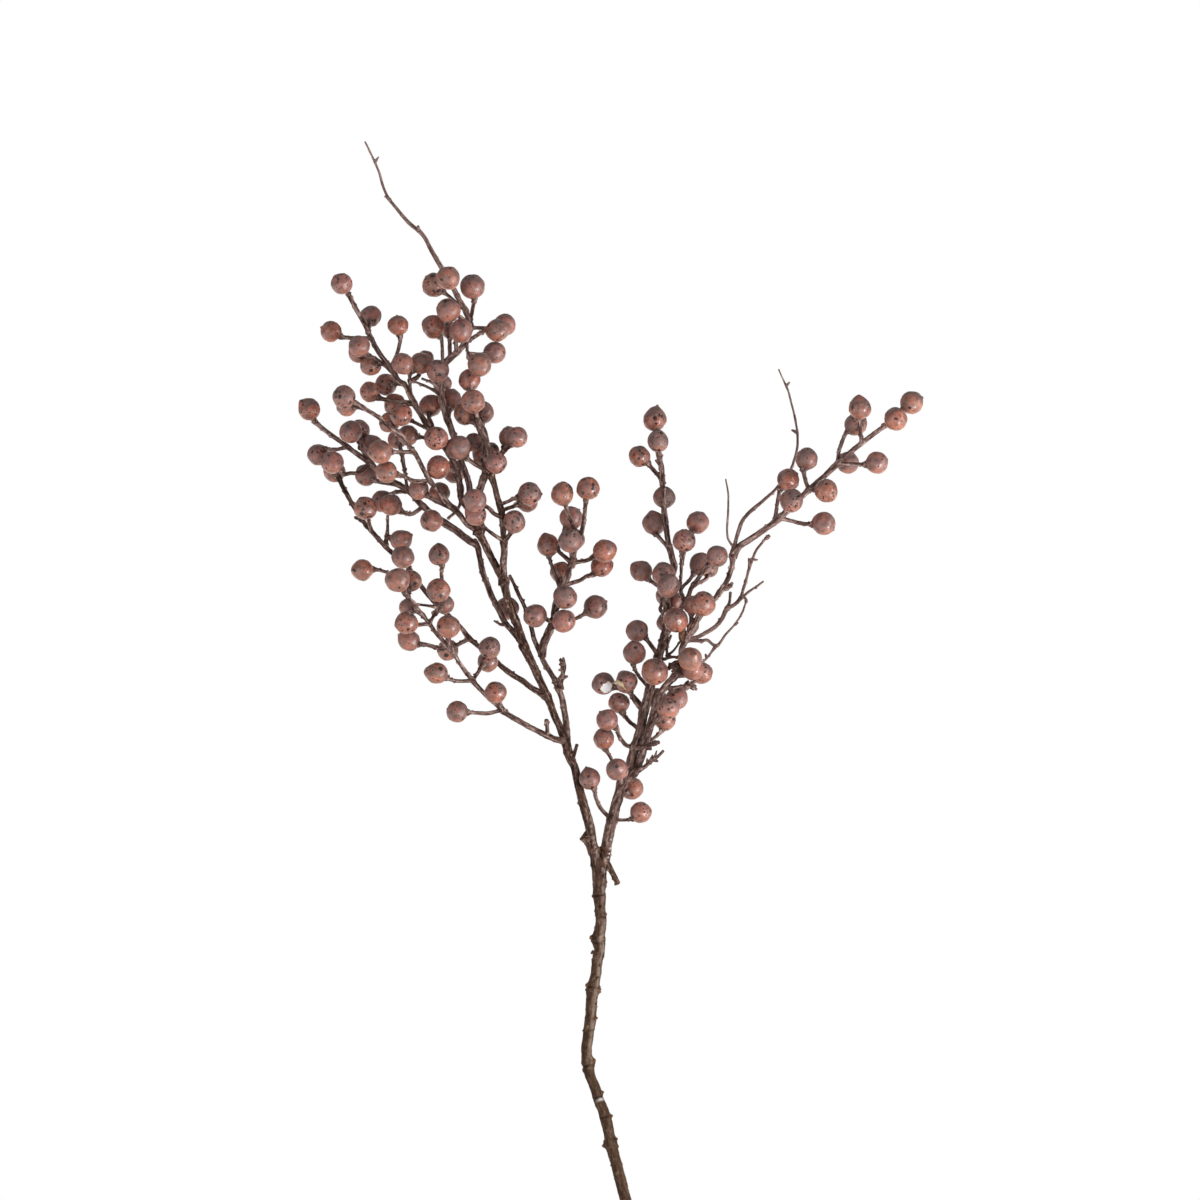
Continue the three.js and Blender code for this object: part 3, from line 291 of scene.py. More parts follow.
      pod(-167.5, 731.5, 7, 18, [-166, 713], [-166, 718], [-168.5, 724]),
      pod(-182, 712, 6.6, 9, [-163.5, 710], [-171, 710.5]),
      pod(-162.4, 691, 7.5, -18, [-150, 689]),
      pod(-152.3, 688.6, 7.3, 21, [-148, 677]),
    ]],
    ["left_short_spray", "left_limb", [
      twig([2.4, 2.3, 2.7, 1.6], [-6, -5, -4, -4], [-135, 650], [-137, 660], [-136, 672],
        [-134, 680], [-131.5, 688], [-130.5, 697], [-131, 705], [-132.5, 712], [-136, 719],
        [-139, 727], [-141, 739]),
      pod(-142, 748, 7, 6, [-141, 739]),
      pod(-139.5, 734, 7.5, -18, [-135, 717]),
      pod(-145, 726, 7, 8, [-134, 715]),
      pod(-133.8, 727.5, 7.3, 20, [-133, 713]),
      pod(-133, 700, 7.2, 24, [-133, 683]),
      pod(-139.2, 707.6, 6, 12.5, [-131, 701]),
    ]],
    ["left_upright_spray", "left_limb", [
      twig([2.3, 1.8], [-6, -12], [-120, 617], [-120, 630], [-119.5, 640], [-120, 650], [-121, 660],
        [-124, 672], [-126, 680], [-128, 686]),
      pod(-124.5, 694, 7, -9, [-128, 686]),
      pod(-115.9, 711.1, 7, 16, [-127, 685], [-122, 699]),
      pod(-111, 711, 6.8, -6, [-122, 698]),
      pod(-128.5, 701.5, 6, 16, [-126.5, 682]),
      pod(-149, 704, 7.5, -2, [-127.5, 686], [-132, 689.5], [-138, 693], [-144, 697.5]),
      pod(-138.3, 669.7, 7.3, -23, [-121, 659], [-126, 661], [-130, 665]),
      pod(-138.1, 660.4, 6.8, -11, [-120, 643], [-127, 648], [-133, 653]),
      pod(-103, 674, 7.3, -4, [-122.5, 667], [-117, 669], [-111, 672]),
      pod(-104.5, 669, 6.8, 12, [-121.5, 663]),
      pod(-112.9, 656, 7.2, -12, [-119.7, 642], [-115, 649]),
    ]],
    ["right_limb", "trunk", [
      twig([3.6, 3.1, 2.6, 2, 1.6], [6, 14], [-53.2, 443.5], [-52.2, 450], [-51.3, 455],
        [-49.2, 463], [-45.5, 476], [-42.1, 487], [-39, 495], [-36, 503], [-33.4, 512],
        [-30.4, 522], [-28.4, 532], [-26.4, 541], [-23.9, 549], [-21.4, 558], [-19.4, 568],
        [-16.4, 578], [-14.9, 586], [-13.9, 596], [-13.9, 607], [-11.5, 617], [-9, 626],
        [-10.7, 633], [-12.5, 641], [-14, 650], [-15.5, 660], [-16, 670], [-16.5, 682],
        [-17.5, 692], [-19, 700]),
      twig([1.8, 1.4], [-4, -8], [-35, 509], [-28, 510], [-19, 512.5]),
      twig([1.1, 0.9], [7, 5], [-20, 567], [-14, 567], [-13.5, 575], [-11, 582]),
      twig([0.9, 0.7], [14, 13], [-17.5, 692], [-21, 696]),
      pod(-64, 489, 6.8, -9, [-49.5, 462], [-52, 464.5], [-57, 470], [-60, 477], [-61, 482]),
      pod(-30.5, 467, 6.7, -6, [-49.5, 462.5], [-41, 462], [-36, 463]),
      pod(-36.5, 482.5, 7.2, 19, [-46, 475]),
      pod(-46, 495, 6.9, -19, [-43, 485]),
      pod(-54.5, 515, 6.8, 3, [-43, 486], [-49.5, 501], [-53.5, 508]),
      pod(-52.5, 527, 6.9, -6, [-34.5, 510], [-40, 510.5], [-45, 517], [-46, 521]),
      pod(-45, 538, 6.7, 8, [-31.5, 520.5], [-38, 526], [-42, 531]),
      pod(-40, 552, 7, -3, [-29, 531], [-36, 541], [-37.5, 545]),
      pod(-55, 550.5, 7.2, 9, [-29, 534], [-38.5, 545]),
      pod(-34.8, 570.8, 7, -4, [-25, 547], [-33, 557], [-35.5, 563]),
      pod(-33, 585, 7, 3, [-20, 569], [-25, 577], [-29, 582]),
      pod(-21.5, 558.5, 8.5, -17, [-26, 544]),
      pod(-8, 592, 7.8, -18, [-17.5, 576]),
      pod(-14, 590.5, 6.2, 18, [-17, 578]),
      pod(-14.3, 607.8, 6.6, 23, [-14.5, 595], [-18, 599]),
      pod(-9, 604, 6.8, 9.5, [-14.5, 597]),
      pod(-12.5, 614.5, 7.4, -23, [-14.5, 603]),
      pod(-16, 622, 7.3, -9, [-14, 609]),
      pod(-30.5, 624, 6.8, 4, [-14, 610], [-21, 615], [-26, 619]),
      pod(-21.5, 723, 7.4, 4, [-18.5, 698], [-20, 708], [-21, 716]),
      pod(-19.5, 708.5, 6.9, -10, [-19, 700]),
      pod(-31.5, 698.5, 6.9, 4, [-16.5, 683], [-24, 691.5], [-26, 694]),
      pod(-15.5, 672, 7, 15, [-15, 658]),
      pod(-22.2, 655.1, 7.3, 10, [-12, 638], [-18, 645], [-21, 648]),
    ]],
    ["right_second_limb", "right_limb", [
      twig([2.6, 2.2, 1.9, 1.5], [-8, -16], [-41, 487.5], [-36, 491], [-31, 500], [-28.5, 508],
        [-26, 518], [-23, 529], [-20, 540], [-14, 550], [-8, 556], [-5, 565], [-4, 573],
        [-0.5, 581], [4, 589], [9, 596], [13, 601], [17, 606], [21, 611], [25, 617], [27, 621],
        [28.3, 628], [29, 636], [30, 638]),
      twig([1.5, 0.9], [-6, -8], [-35, 492], [-29, 496], [-24, 500], [-20, 503], [-16, 507]),
      twig([1.5, 1.1], [-6, -10], [-20, 541], [-15, 547], [-10, 548], [5, 549]),
      twig([1.1, 0.8], [-12, -10], [20, 610], [26, 613.5], [29, 616]),
      pod(-15, 527.3, 6.9, 5, [-27, 512], [-21, 516], [-17, 520]),
      pod(-13, 535, 7, -14, [-25, 521]),
      pod(-7, 541.2, 7, 13, [-22, 534]),
      pod(-20.5, 541, 6.5, 22, [-24, 525]),
      pod(1.5, 567, 7.5, -18, [-5, 566]),
      pod(3, 560, 7, -4, [-8, 556]),
      pod(9, 557.5, 6.9, 11, [-9, 555], [1, 556]),
      pod(9.5, 602.5, 8, -16, [3, 587]),
      pod(3, 602, 6, 4, [1, 584]),
    ]],
    ["right_thin_twigs", "right_second_limb", [
      twig([1.4, 1.4, 0.9, 0.8], [-2, 6], [-1.5, 579], [6, 581], [12, 584], [18, 588], [22, 593],
        [25, 599], [30, 602], [34, 606], [36, 612], [38.5, 620], [40, 626], [42, 632], [44, 637],
        [48, 642], [52, 646.5]),
      twig([1.1, 1], [-1, 1], [25, 599], [27, 604], [27.5, 610]),
      twig([0.9, 0.7], [6, 12], [34, 606], [38, 609], [42, 612], [49, 617]),
      twig([1.3, 0.8, 0.6], [-10, -6], [0, 579.5], [8, 578.5], [12, 579], [18.5, 575.5], [25, 583],
        [31, 590], [35, 597], [38, 604.5]),
      twig([0.9, 0.7], [-13, -15], [18.5, 575.5], [12, 567], [9, 564]),
      twig([0.7, 0.7], [2, 2], [39.5, 625], [39.5, 632]),
    ]],
    ["right_short_spray", "right_limb", [
      twig([1.6, 1.4], [4, -4], [-16, 582], [-10, 590], [-5, 598], [-2, 604], [0, 607], [2, 612],
        [6, 618], [10, 624], [13, 628]),
      pod(19, 633.5, 6.9, -8, [13, 628]),
      pod(8.5, 628.5, 7.3, 6, [-2, 604.5], [-4.5, 611.5], [1, 618], [4, 623]),
      pod(13.5, 626, 6, 22, [4, 615], [12, 619]),
      pod(-2.5, 643.5, 7.2, -8, [-2, 604], [-5, 611], [-4.5, 622], [-4, 634]),
      pod(6.5, 655.5, 7.1, 12, [-4.2, 628], [0, 645]),
    ]],
    ["right_outer_spray", "right_second_limb", [
      twig([2.1, 1.9, 1.75, 1.5], [-24, -30], [28.5, 633], [33, 639.5], [38, 643], [47, 649],
        [57, 656], [64, 662], [72, 670], [79, 677], [88, 685], [96, 693], [104, 700], [113, 707],
        [122, 714], [129, 719]),
      pod(65, 683, 7.1, 4, [56, 656], [58, 668], [60, 677]),
      pod(67, 669.4, 7.4, -18, [60, 659]),
      pod(88, 654.5, 7.3, -2, [60, 658], [72, 655], [80, 654]),
      pod(77, 696.5, 7, 6, [78, 677], [76, 683], [75, 689]),
      pod(89.5, 675.8, 7.3, -17, [78, 677]),
      pod(104, 694.5, 7, 18, [93, 691]),
      pod(122.5, 694, 7.2, -3, [96, 693], [115, 693]),
      pod(109, 719, 7.2, 11, [97, 694], [98, 702], [100, 708], [103, 714]),
      pod(111.5, 730, 7.2, -4, [113, 707], [111.5, 715], [110.5, 722]),
      pod(134.5, 722.5, 7.4, -9, [129, 719]),
      pod(145, 733, 7.2, 5, [128, 718.5], [138, 727]),
    ]],
    ["right_bare_twigs", "right_second_limb", [
      twig([1.4, 1.1, 0.8, 0.5], [-2, 6], [29.5, 637], [33, 650], [35, 656], [40, 662], [48, 669],
        [55, 675], [59, 679], [64, 685], [67, 690], [70, 700], [71, 710], [70, 721], [67.5, 731],
        [65, 741], [62, 748], [59, 755]),
      twig([0.8, 0.7, 0.5], [-14, -10], [30, 639], [27.5, 642], [26, 645], [25.5, 650], [26, 660],
        [26, 670], [25.5, 677], [24.5, 683.5]),
      twig([0.7, 0.6], [4, 4], [63.5, 744], [66, 746.5]),
      twig([0.8, 0.6], [2, 2], [70.5, 714], [67.5, 715.5]),
    ]],
]
# How much of each node's wood is the paler, pinkish grey of young twigs
PALE = {
    "trunk": 0.05, "left_tall_spray": 0.85, "left_short_spray": 0.5, "left_middle_spray": 0.3,
    "left_inner_spray": 0.33, "left_outer_spray": 0.42, "left_low_back_spray": 0.1,
    "left_low_front_spray": 0.3, "right_second_limb": 0.42, "right_thin_twigs": 0.62,
    "right_outer_spray": 0.63, "right_bare_twigs": 0.78, "right_short_spray": 0.45,
    "left_upright_spray": 0.1, "left_limb": -0.1, "right_limb": 0.4, "left_front_spray": 0.25,
}
# The trunk's old leaf scars: the height, the direction that the middle faces, where pi is the front
# and more is further right, and how far round it reaches either way. A pale patch is under one.
PALE_PATCH = 281.5
SCARS = [
    (254.8, 3.9, 1.0), (268.5, 3.3, 1.5), (PALE_PATCH, 3.3, 1.9), (302, 2.3, 1.9),
    (325.4, 4.1, 0.7), (333.4, 4.2, 0.7), (343.3, 4.2, 0.4), (353.2, 3.1, 1.9),
    (360.4, 3.6, 0.3), (367.9, 3.3, 0.7), (382, 2.2, 0.9), (398, 3.6, 0.6),
    (406, 2.9, 0.8), (413.5, 2.7, 1.5),
]
# The trunk's knobs and buds: the height, the direction as above, how tall, how wide, and how much
# of it is a bud's orange brown. A negative height is a notch.
LEFT, RIGHT = 1.6, 4.7
KNOBS = [
    (249.4, RIGHT, 1.0, 0.8, 0.1), (251.3, LEFT, 1.9, 1.5, 0), (254.2, RIGHT, 1.3, 1.0, 0.2),
    (268.5, RIGHT, 1.5, 1.1, 0.15), (283.9, RIGHT, 1.7, 1.1, 0.15), (302.5, 1.8, -2.7, 0.9, 0),
    (305.5, RIGHT, 1.0, 1.3, 0.2), (324.6, LEFT, 0.9, 0.8, 0.1), (350.8, RIGHT, 1.0, 0.8, 0.2),
    (351.1, LEFT, 0.9, 0.8, 0.1), (353.9, RIGHT, 1.0, 0.8, 0.3), (354.6, LEFT, 1.0, 1.4, 1.3),
    (299.6, LEFT, 0.7, 1.2, 0), (382.7, 4.3, -1.4, 0.8, 0), (386, RIGHT, 0.5, 1.2, 0),
    (385.3, LEFT, 1.7, 0.8, 0.1), (392, LEFT, 0.4, 0.9, 0.1), (400, LEFT, 0.6, 0.8, 0),
    (400.6, RIGHT, 0.9, 0.8, 0.3), (403, LEFT, 0.7, 0.9, 0.2),
    (412.5, LEFT, 1.0, 1.0, 0.4), (419, RIGHT, 0.7, 1.0, 0.2), (421.5, RIGHT, 0.8, 1.0, 0.2),
]


def husk(pale, brown, radii, depths, *route):
    """A dried bud or leaf on the wood: a fat twig that is as pale and as brown as it says."""
    return twig(radii, depths, *route) | {"pale": pale, "brown": brown}


# Finer wood than the solids have, by the node that it grows on
DETAILS = {
    "trunk": [
      twig([2.4], [0], [-60.5, 440], [-63.2, 445, 2.9], [-66, 448.6, 2.6], [-69.3, 449.9, 1.2]),
      twig([1.8], [0], [-62, 457], [-65, 453.5, 1.9], [-69, 450, 1.1]),
      twig([1.8, 1.7, 1.3, 0.5], [], [-56.8, 434], [-57.4, 438.5], [-57.7, 442], [-58.1, 444.8]),
    ],
    "right_limb": [
      twig([1.2, 1.5, 1.5, 1.4, 1.2, 0.8], [], [-52.9, 433.5], [-52.1, 437], [-51.3, 441.7],
        [-50.4, 446.7], [-49.9, 451.7], [-50, 457]),
      twig([1.0, 1.5, 0.5], [], [-29, 510], [-26, 508.9], [-23.6, 508.2]),
      twig([1.2, 1.6, 0.5], [], [-23, 511.2], [-20.8, 512.2], [-18.6, 512.8]),
      twig([0.9, 0.7], [0, -7], [-13.5, 568.5], [-9, 572.5], [-4.5, 579]),
      twig([0.9, 0.8], [3, -3], [-14, 567.3], [-9.5, 568], [-5, 567.3]),
    ],
    "right_second_limb": [
      twig([1.0, 0.5], [], [-22.5, 502], [-20.4, 507]),
      twig([1.0, 0.5], [], [-25.5, 500.5], [-23, 504.2]),
      twig([0.9, 0.5], [], [-22.5, 502], [-19.6, 500]),
      twig([0.8, 0.4], [], [-27, 498.5], [-26.6, 502]),
      twig([1.2, 1.4, 0.6], [], [-1.5, 548.5], [-0.6, 550.8], [0.2, 552.6]),
      twig([1.2, 1.5, 0.5], [], [1.2, 548.7], [3, 551], [5.2, 552.6]),
      twig([1.1, 1.3, 0.5], [], [2, 549], [4, 547.6], [5.6, 546.6]),
      twig([1.0, 1.2, 0.5], [], [-1.5, 548.5], [-2, 547], [-3, 545.8]),
      husk(0, 0, [1.0, 2.1, 2.0, 0.6], [-9, -7], [-5.5, 564], [-8, 563.6], [-10.8, 562],
        [-13.6, 560.4]),
      husk(0, 0, [1.0, 1.8, 0.5], [-9], [-6.5, 561], [-8.6, 559.6], [-10.6, 558.6]),
      twig([1.0, 1.5, 0.9, 0.5], [], [23.5, 612], [25.5, 613], [27.5, 614.3], [29.2, 616]),
      husk(0.55, 0, [1.2, 2.5, 2.1, 2.4, 1.4], [-10, -11], [-12, 547.2], [-8.6, 546.6],
        [-5.4, 547.8], [-2, 548.2], [1, 549.4]),
      husk(0, 0.35, [0.8, 2.0, 2.3, 0.7], [-10, -9], [-2.5, 577], [-4.2, 580.5], [-3.8, 585],
        [-1.5, 589]),
      husk(0.75, 0, [0.8, 2.2, 3.7, 2.8], [-9, -8], [-1.2, 578], [1, 583], [3.2, 588], [4.6, 592]),
    ],
    "left_low_front_spray": [
      twig([0.9, 0.9, 0.8], [], [-163.2, 600.5], [-169, 601.3], [-175.8, 602.2]),
    ],
    "right_thin_twigs": [
      twig([0.9, 0.5], [], [12.3, 567.5], [11.2, 569.8]),
      twig([0.7, 0.4], [], [42.3, 631.4], [45.3, 631.2]),
      twig([0.8, 1.2, 0.9], [], [50.5, 644.5], [51.8, 646], [53, 646.8]),
      twig([0.8, 0.5], [], [30.4, 589], [32.5, 590.4]),
      twig([0.6, 0.9, 0.6], [], [37.2, 603], [37.8, 604.4], [38, 605.6]),
      twig([0.9, 0.5], [], [36, 607], [38, 605.4]),
      twig([0.8, 0.4], [], [20, 591], [20, 593.2]),
    ],
}
# A curl of skin that has come off the pod beside the broken one, from the pod's middle
SHRED = [[-0.4, -5.2, -5.4], [-2, -6, -3.6], [-4, -6.4, -1.4], [-6.4, -5.6, 0], [-8.8, -4, -1]]
SHRED_SIDES = 8
SHRED_TWIST = 2.6
# Marks on the wood around the fork, as [x, z, strength]: over 1 is a white fleck, up to 1 a pale
# spot, and a negative one a dark hollow. The white flecks and pale spots are partly the wood's own
# marks and partly painted highlights on the lit side of the strands and the left limb.
FLECKS = [
    [-49.9, 449.2, 1.45], [-50.6, 443.5, 1.45], [-51.1, 440.1, 1.5], [-51.9, 437.7, 1.3],
    [-51.6, 441.8, -0.9], [-51.3, 438.9, -0.9], [-62.7, 448.9, -1], [-61.9, 450.3, 0.6],
    [-61.3, 447.5, 0.6], [-63.3, 462.2, 0.5], [-62.9, 458, 0.7], [-62.6, 454.5, 0.6],
    [-60.6, 443.7, 0.5], [-59.9, 441.2, 0.5], [-59.3, 438.6, 0.4], [-55.6, 430.2, 0.5],
    [-54.2, 428.8, 0.5], [-55.2, 418, 0.6], [-54.8, 415.6, 0.7], [-55.6, 442.7, -1],
    [-56.7, 438.2, -1], [-55.6, 425.9, -0.9],
]
FLECK_REACH = 0.65
FLECK_STRETCH = 1.8  # how much taller than wide they are, but for the white ones
# Stretches of wood that are paler than the rest, or darker: [x, z] at both ends and how much
STRETCHES = [
    ([-178.6, 602.7], [-167.4, 589.2], 0.9), ([-167.4, 589.2], [-145, 559.4], 0.9),
    ([-215.1, 732.9], [-200, 722.5], 0.5), ([-190.7, 714.9], [-180.8, 706.8], 0.8),
    ([-168, 679], [-161.7, 670.8], 0.8), ([-240.6, 720.7], [-234.8, 715.5], 0.5),
    ([-226.7, 682.4], [-217.4, 665.6], -0.5), ([-150.2, 593], [-142.7, 583.3], -0.5),
    ([-57, 396], [-56, 430], -0.35),
]
STRETCH_REACH = 2.6
BARE_TWIGS = ("right_bare_twigs", "right_thin_twigs")  # smoother than the rest
SMOOTH_ABOVE = 800  # and so is the youngest wood, at the top
PAINTED_HIGHLIGHT_HEIGHTS = (303.3, 424)  # the heights between which a painted highlight makes the trunk paler right of its middle
# The pod whose skin is broken off, down to its pale core, and the one with peeling skin beside it
BROKEN_POD = ("right_limb", -55, 550.5)
BROKEN_SIDE = [0.42, -0.82, -0.45]
BROKEN_FINER = 3  # its mesh against that of the others
PEELING_POD = ("right_limb", -40, 552)


# Numbers

def fresh(seed):
    return np.random.default_rng(SEED + seed)


def noise(points, seed):
    """Smooth noise from -1 to 1 at the points, an N x 3 array."""
    cell = np.floor(points).astype(np.int64)
    share = points - cell
    share = share * share * (3 - 2 * share)
    total = np.zeros(len(points))
    for corner in np.ndindex(2, 2, 2):
        at = cell + corner
        mixed = at[:, 0] * 374761393 + at[:, 1] * 668265263 + at[:, 2] * 362437 + seed * 144665
        mixed = (mixed ^ (mixed >> 13)) * 1274126177
        value = ((mixed ^ (mixed >> 16)) & 0xFFFF) / 32767.5 - 1
        total += value * np.where(np.array(corner, bool), share, 1 - share).prod(1)
    return total


def unit(v):
    return v / np.maximum(np.linalg.norm(v, axis=-1, keepdims=True), 1e-12)


def bell(x, power=2):
    """1 at 0 and 0 far from it. A higher power gives a flatter top."""
    return np.exp(-(x**power))


def fade(value, start, end):
    """From 0 at the start to 1 at the end."""
    return np.clip((value - start) / (end - start), 0, 1)


def evenly(values, share):
    return np.interp(share, np.linspace(0, 1, len(values)), values)


def circle(count):
    return 2 * np.pi * np.arange(count) / count


def turned(angle, turn):
    """The angle from a direction, between -pi and pi."""
    return (angle[None] - turn + np.pi) % (2 * np.pi) - np.pi


def distances(points, power=1):
    """How far each of the points is along the line through them."""
    gaps = np.linalg.norm(np.diff(points, axis=0), axis=1)
    return np.concatenate([[0], np.cumsum(gaps**power)])


def smooth_curve(points, step):
    """Points about a step apart on a curve through the given ones, and their places in the list."""
    points = np.asarray(points, float)
    held = np.vstack([2 * points[0] - points[1], points, 2 * points[-1] - points[-2]])
    curve, places = [], []
    for i in range(len(points) - 1):
        p = held[i : i + 4]
        knots = distances(p, 0.5)
        count = max(1, round(np.linalg.norm(p[2] - p[1]) / step))
        share = np.arange(count) / count
        t = (knots[1] + share * (knots[2] - knots[1]))[:, None]

        def between(a, b, low, high):
            return ((high - t) * a + (t - low) * b) / (high - low)

        near = between(p[0], p[1], knots[0], knots[1])
        middle = between(p[1], p[2], knots[1], knots[2])
        far = between(p[2], p[3], knots[2], knots[3])
        left = between(near, middle, knots[0], knots[2])
        right = between(middle, far, knots[1], knots[3])
        curve.append(between(left, right, knots[1], knots[2]))
        places.append(i + share)
    curve.append(points[-1:])
    places.append([len(points) - 1])
    return np.vstack(curve), np.concatenate(places)


# Where the wood and the pods are

def nearest(routes, x, z):
    """Gap to the routes seen from the front, and the point there."""
    best = (math.inf, None)
    for route in routes:
        start, along = route[:-1], np.diff(route, axis=0)
        flat = along * [1, 0, 1]
        to = (np.array([x, 0, z]) - start) * [1, 0, 1]
        share = np.clip((to * flat).sum(1) / np.maximum((flat**2).sum(1), 1e-9), 0, 1)
        gaps = np.linalg.norm(to - share[:, None] * flat, axis=1)
        i = int(gaps.argmin())
        if gaps[i] < best[0]:
            best = (gaps[i], start[i] + share[i] * along[i])
    return best


def twig_line(item, carriers):
    """A twig's points, starting inside the wood that carries it, and its radii."""
    points = np.array([[p[0], 0, p[1]] for p in item["route"]], float)
    lengths = distances(points)
    share = lengths / lengths[-1]
    root = nearest(carriers, *item["route"][0][:2])[1] if carriers else points[0]
    points[:, 1] = evenly([root[1], *item["depths"]], share)
    points[0] = root
    radii = evenly(item["radii"], share)
    for i, p in enumerate(item["route"]):
        if len(p) > 2:
            radii[i] = p[2]
    return points, radii


def pod_line(item, twigs, stalks):
    """A pod's stalk from its root up to the pod's centre."""
    on_twig = nearest(twigs, *item["stalk"][0])
    on_stalk = nearest(stalks, *item["stalk"][0])
    root = (on_stalk if on_stalk[0] + TWIG_FIRST < on_twig[0] else on_twig)[1]
    places = [[root[0], root[2]], *item["stalk"][1:], [item["x"], item["z"]]]
    points = np.array([[x, 0, z] for x, z in places], float)
    lengths = distances(points)
    points[:, 1] = root[1] + item["behind"] * lengths / lengths[-1]
    return points


def lay_out():
    """Each node's twigs, as (points, radii), and its pods, as (item, stalk points)."""
    routes, layout = {}, {}
    for name, carrier, items in STEM:
        twigs, lines, stalks, pods = [], [], [], []
        for item in items:
            if "route" in item:
                points, radii = twig_line(item, lines or routes.get(carrier, []))
                lines.append(points)
                twigs.append((points, radii))
            else:
                stalk = pod_line(item, lines, stalks)
                stalks.append(stalk)
                pods.append((item, stalk))
        routes[name] = lines
        layout[name] = (twigs, pods)
    return layout


# Meshes

class Build:
    """Collects the points, faces and named layers of one piece."""

    def __init__(self):
        self.points, self.faces, self.layers, self.count = [], [], {}, 0

    def add(self, points, faces, **layers):
        for name, values in layers.items():
            self.layers.setdefault(name, []).append(np.asarray(values, float))
        self.points.append(points)
        self.faces += [tuple(self.count + i for i in face) for face in faces]
        self.count += len(points)

    def piece(self, name, material, slot_name, node):
        mesh = bpy.data.meshes.new(name)
        mesh.from_pydata((np.vstack(self.points) * MM).tolist(), [], self.faces)
        for layer, values in self.layers.items():
            flat = np.concatenate(values)
            kind = "FLOAT_VECTOR" if flat.ndim == 2 else "FLOAT"
            attribute = mesh.attributes.new(layer, kind, "POINT")
            attribute.data.foreach_set("vector" if flat.ndim == 2 else "value", flat.ravel())
        mesh.polygons.foreach_set("use_smooth", [True] * len(mesh.polygons))
        mesh.materials.append(material)
        mesh.update()
        piece = bpy.data.objects.new(name, mesh)
        bpy.context.scene.collection.objects.link(piece)
        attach(piece, "root")
        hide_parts(node)


def ring_faces(rings, sides):
    """The faces between rings of points, and those to a pole at each end, which come last."""
    low, high, last = rings * sides, rings * sides + 1, (rings - 1) * sides
    after = [(k + 1) % sides for k in range(sides)]
    faces = [
        (i * sides + k, i * sides + after[k], (i + 1) * sides + after[k], (i + 1) * sides + k)
        for i in range(rings - 1)
        for k in range(sides)
    ]
    faces += [(low, after[k], k) for k in range(sides)]
    faces += [(high, last + k, last + after[k]) for k in range(sides)]
    return faces


def frames_along(path):
    """Two directions across the path at each of its points, turned as little as they can be."""
    along = unit(np.gradient(path, axis=0))
    across = np.empty_like(path)
    guide = np.array([0, 1, 0]) if abs(along[0][1]) < 0.9 else np.array([1, 0, 0])
    for i, direction in enumerate(along):
        guide = unit(guide - direction * (guide @ direction))
        across[i] = guide
    return across, np.cross(along, across)


# Wood

def random_spurs(rng, length, spacing):
    """Spurs, each as how far along, direction, height and width, denser towards the end."""
    return [
        (
            length * rng.uniform() ** 0.6, rng.uniform(0, 2 * np.pi),
            rng.uniform(0.35, 1.3), rng.uniform(0.45, 1),
        )
        for _ in range(rng.poisson(length / spacing))
    ]


def trunk_marks(rng, path, r, s, angle, ridge, height, brown):
    """The height and brown with the scars, knobs and buds added, and the grooves and pale band."""
    groove, band = 0 * height, 0 * height
    for z, turn, reach in SCARS:
        around = turned(angle, turn)
        ring = np.stack([2 * np.cos(angle), 2 * np.sin(angle), z + 0 * angle], 1)
        worn = 1 if z == PALE_PATCH else np.clip(0.75 + 0.9 * noise(ring, 3), 0, 1)
        here = bell(around / reach, 4) * worn
        tilt = rng.uniform(-0.6, 0.6) * np.cos(around)
        at = np.interp(z, path[:, 2], s[:, 0]) + tilt + 0.5 * ridge
        groove = groove + here * bell((s - at) / 0.55)
        lip, crack = bell((s - at - 1.1) / 0.8), bell((s - at) / 0.5)
        height = height + here * (0.42 * lip - 0.36 * crack)
        if z == PALE_PATCH:
            band = 1.15 * np.exp(-(((s - at + 2.1) / 1.1) ** 4) - ((around - 0.25) / 0.95) ** 4)
    for z, turn, tall, wide, bud in KNOBS:
        along = (s - np.interp(z, path[:, 2], s[:, 0])) / wide
        off = along**2 + (turned(angle, turn) * r / (1.3 * wide)) ** 2
        height = height + tall * np.exp(-off)
        brown = np.maximum(brown, bud * bell(off / 1.4))
    return height, brown, groove, band


def seen_marks(points, behind, groove, band, pale):
    """The layers with the marks added that are placed as the front view shows them."""
    x, z = points[..., 0], points[..., 2]
    # Pale spots and white flecks, partly painted highlights, go only on the front half of the wood
    for fleck_x, fleck_z, strength in FLECKS:
        tall = 1 if abs(strength) > 1 else FLECK_STRETCH
        off = np.hypot(x - fleck_x, (z - fleck_z) / tall)
        here = bell(off / FLECK_REACH, 4) * (points[..., 1] < behind)
        band = np.maximum(band, strength * here)
        groove = np.maximum(groove, -strength * here)
    for start, end, amount in STRETCHES:
        seen, along = points[..., ::2] - start, np.subtract(end, start)
        share = np.clip(seen @ along / (along @ along), 0, 1)
        off = np.linalg.norm(seen - share[..., None] * along, axis=-1)
        pale = pale + amount * bell(off / STRETCH_REACH, 4)
    return groove, band, pale


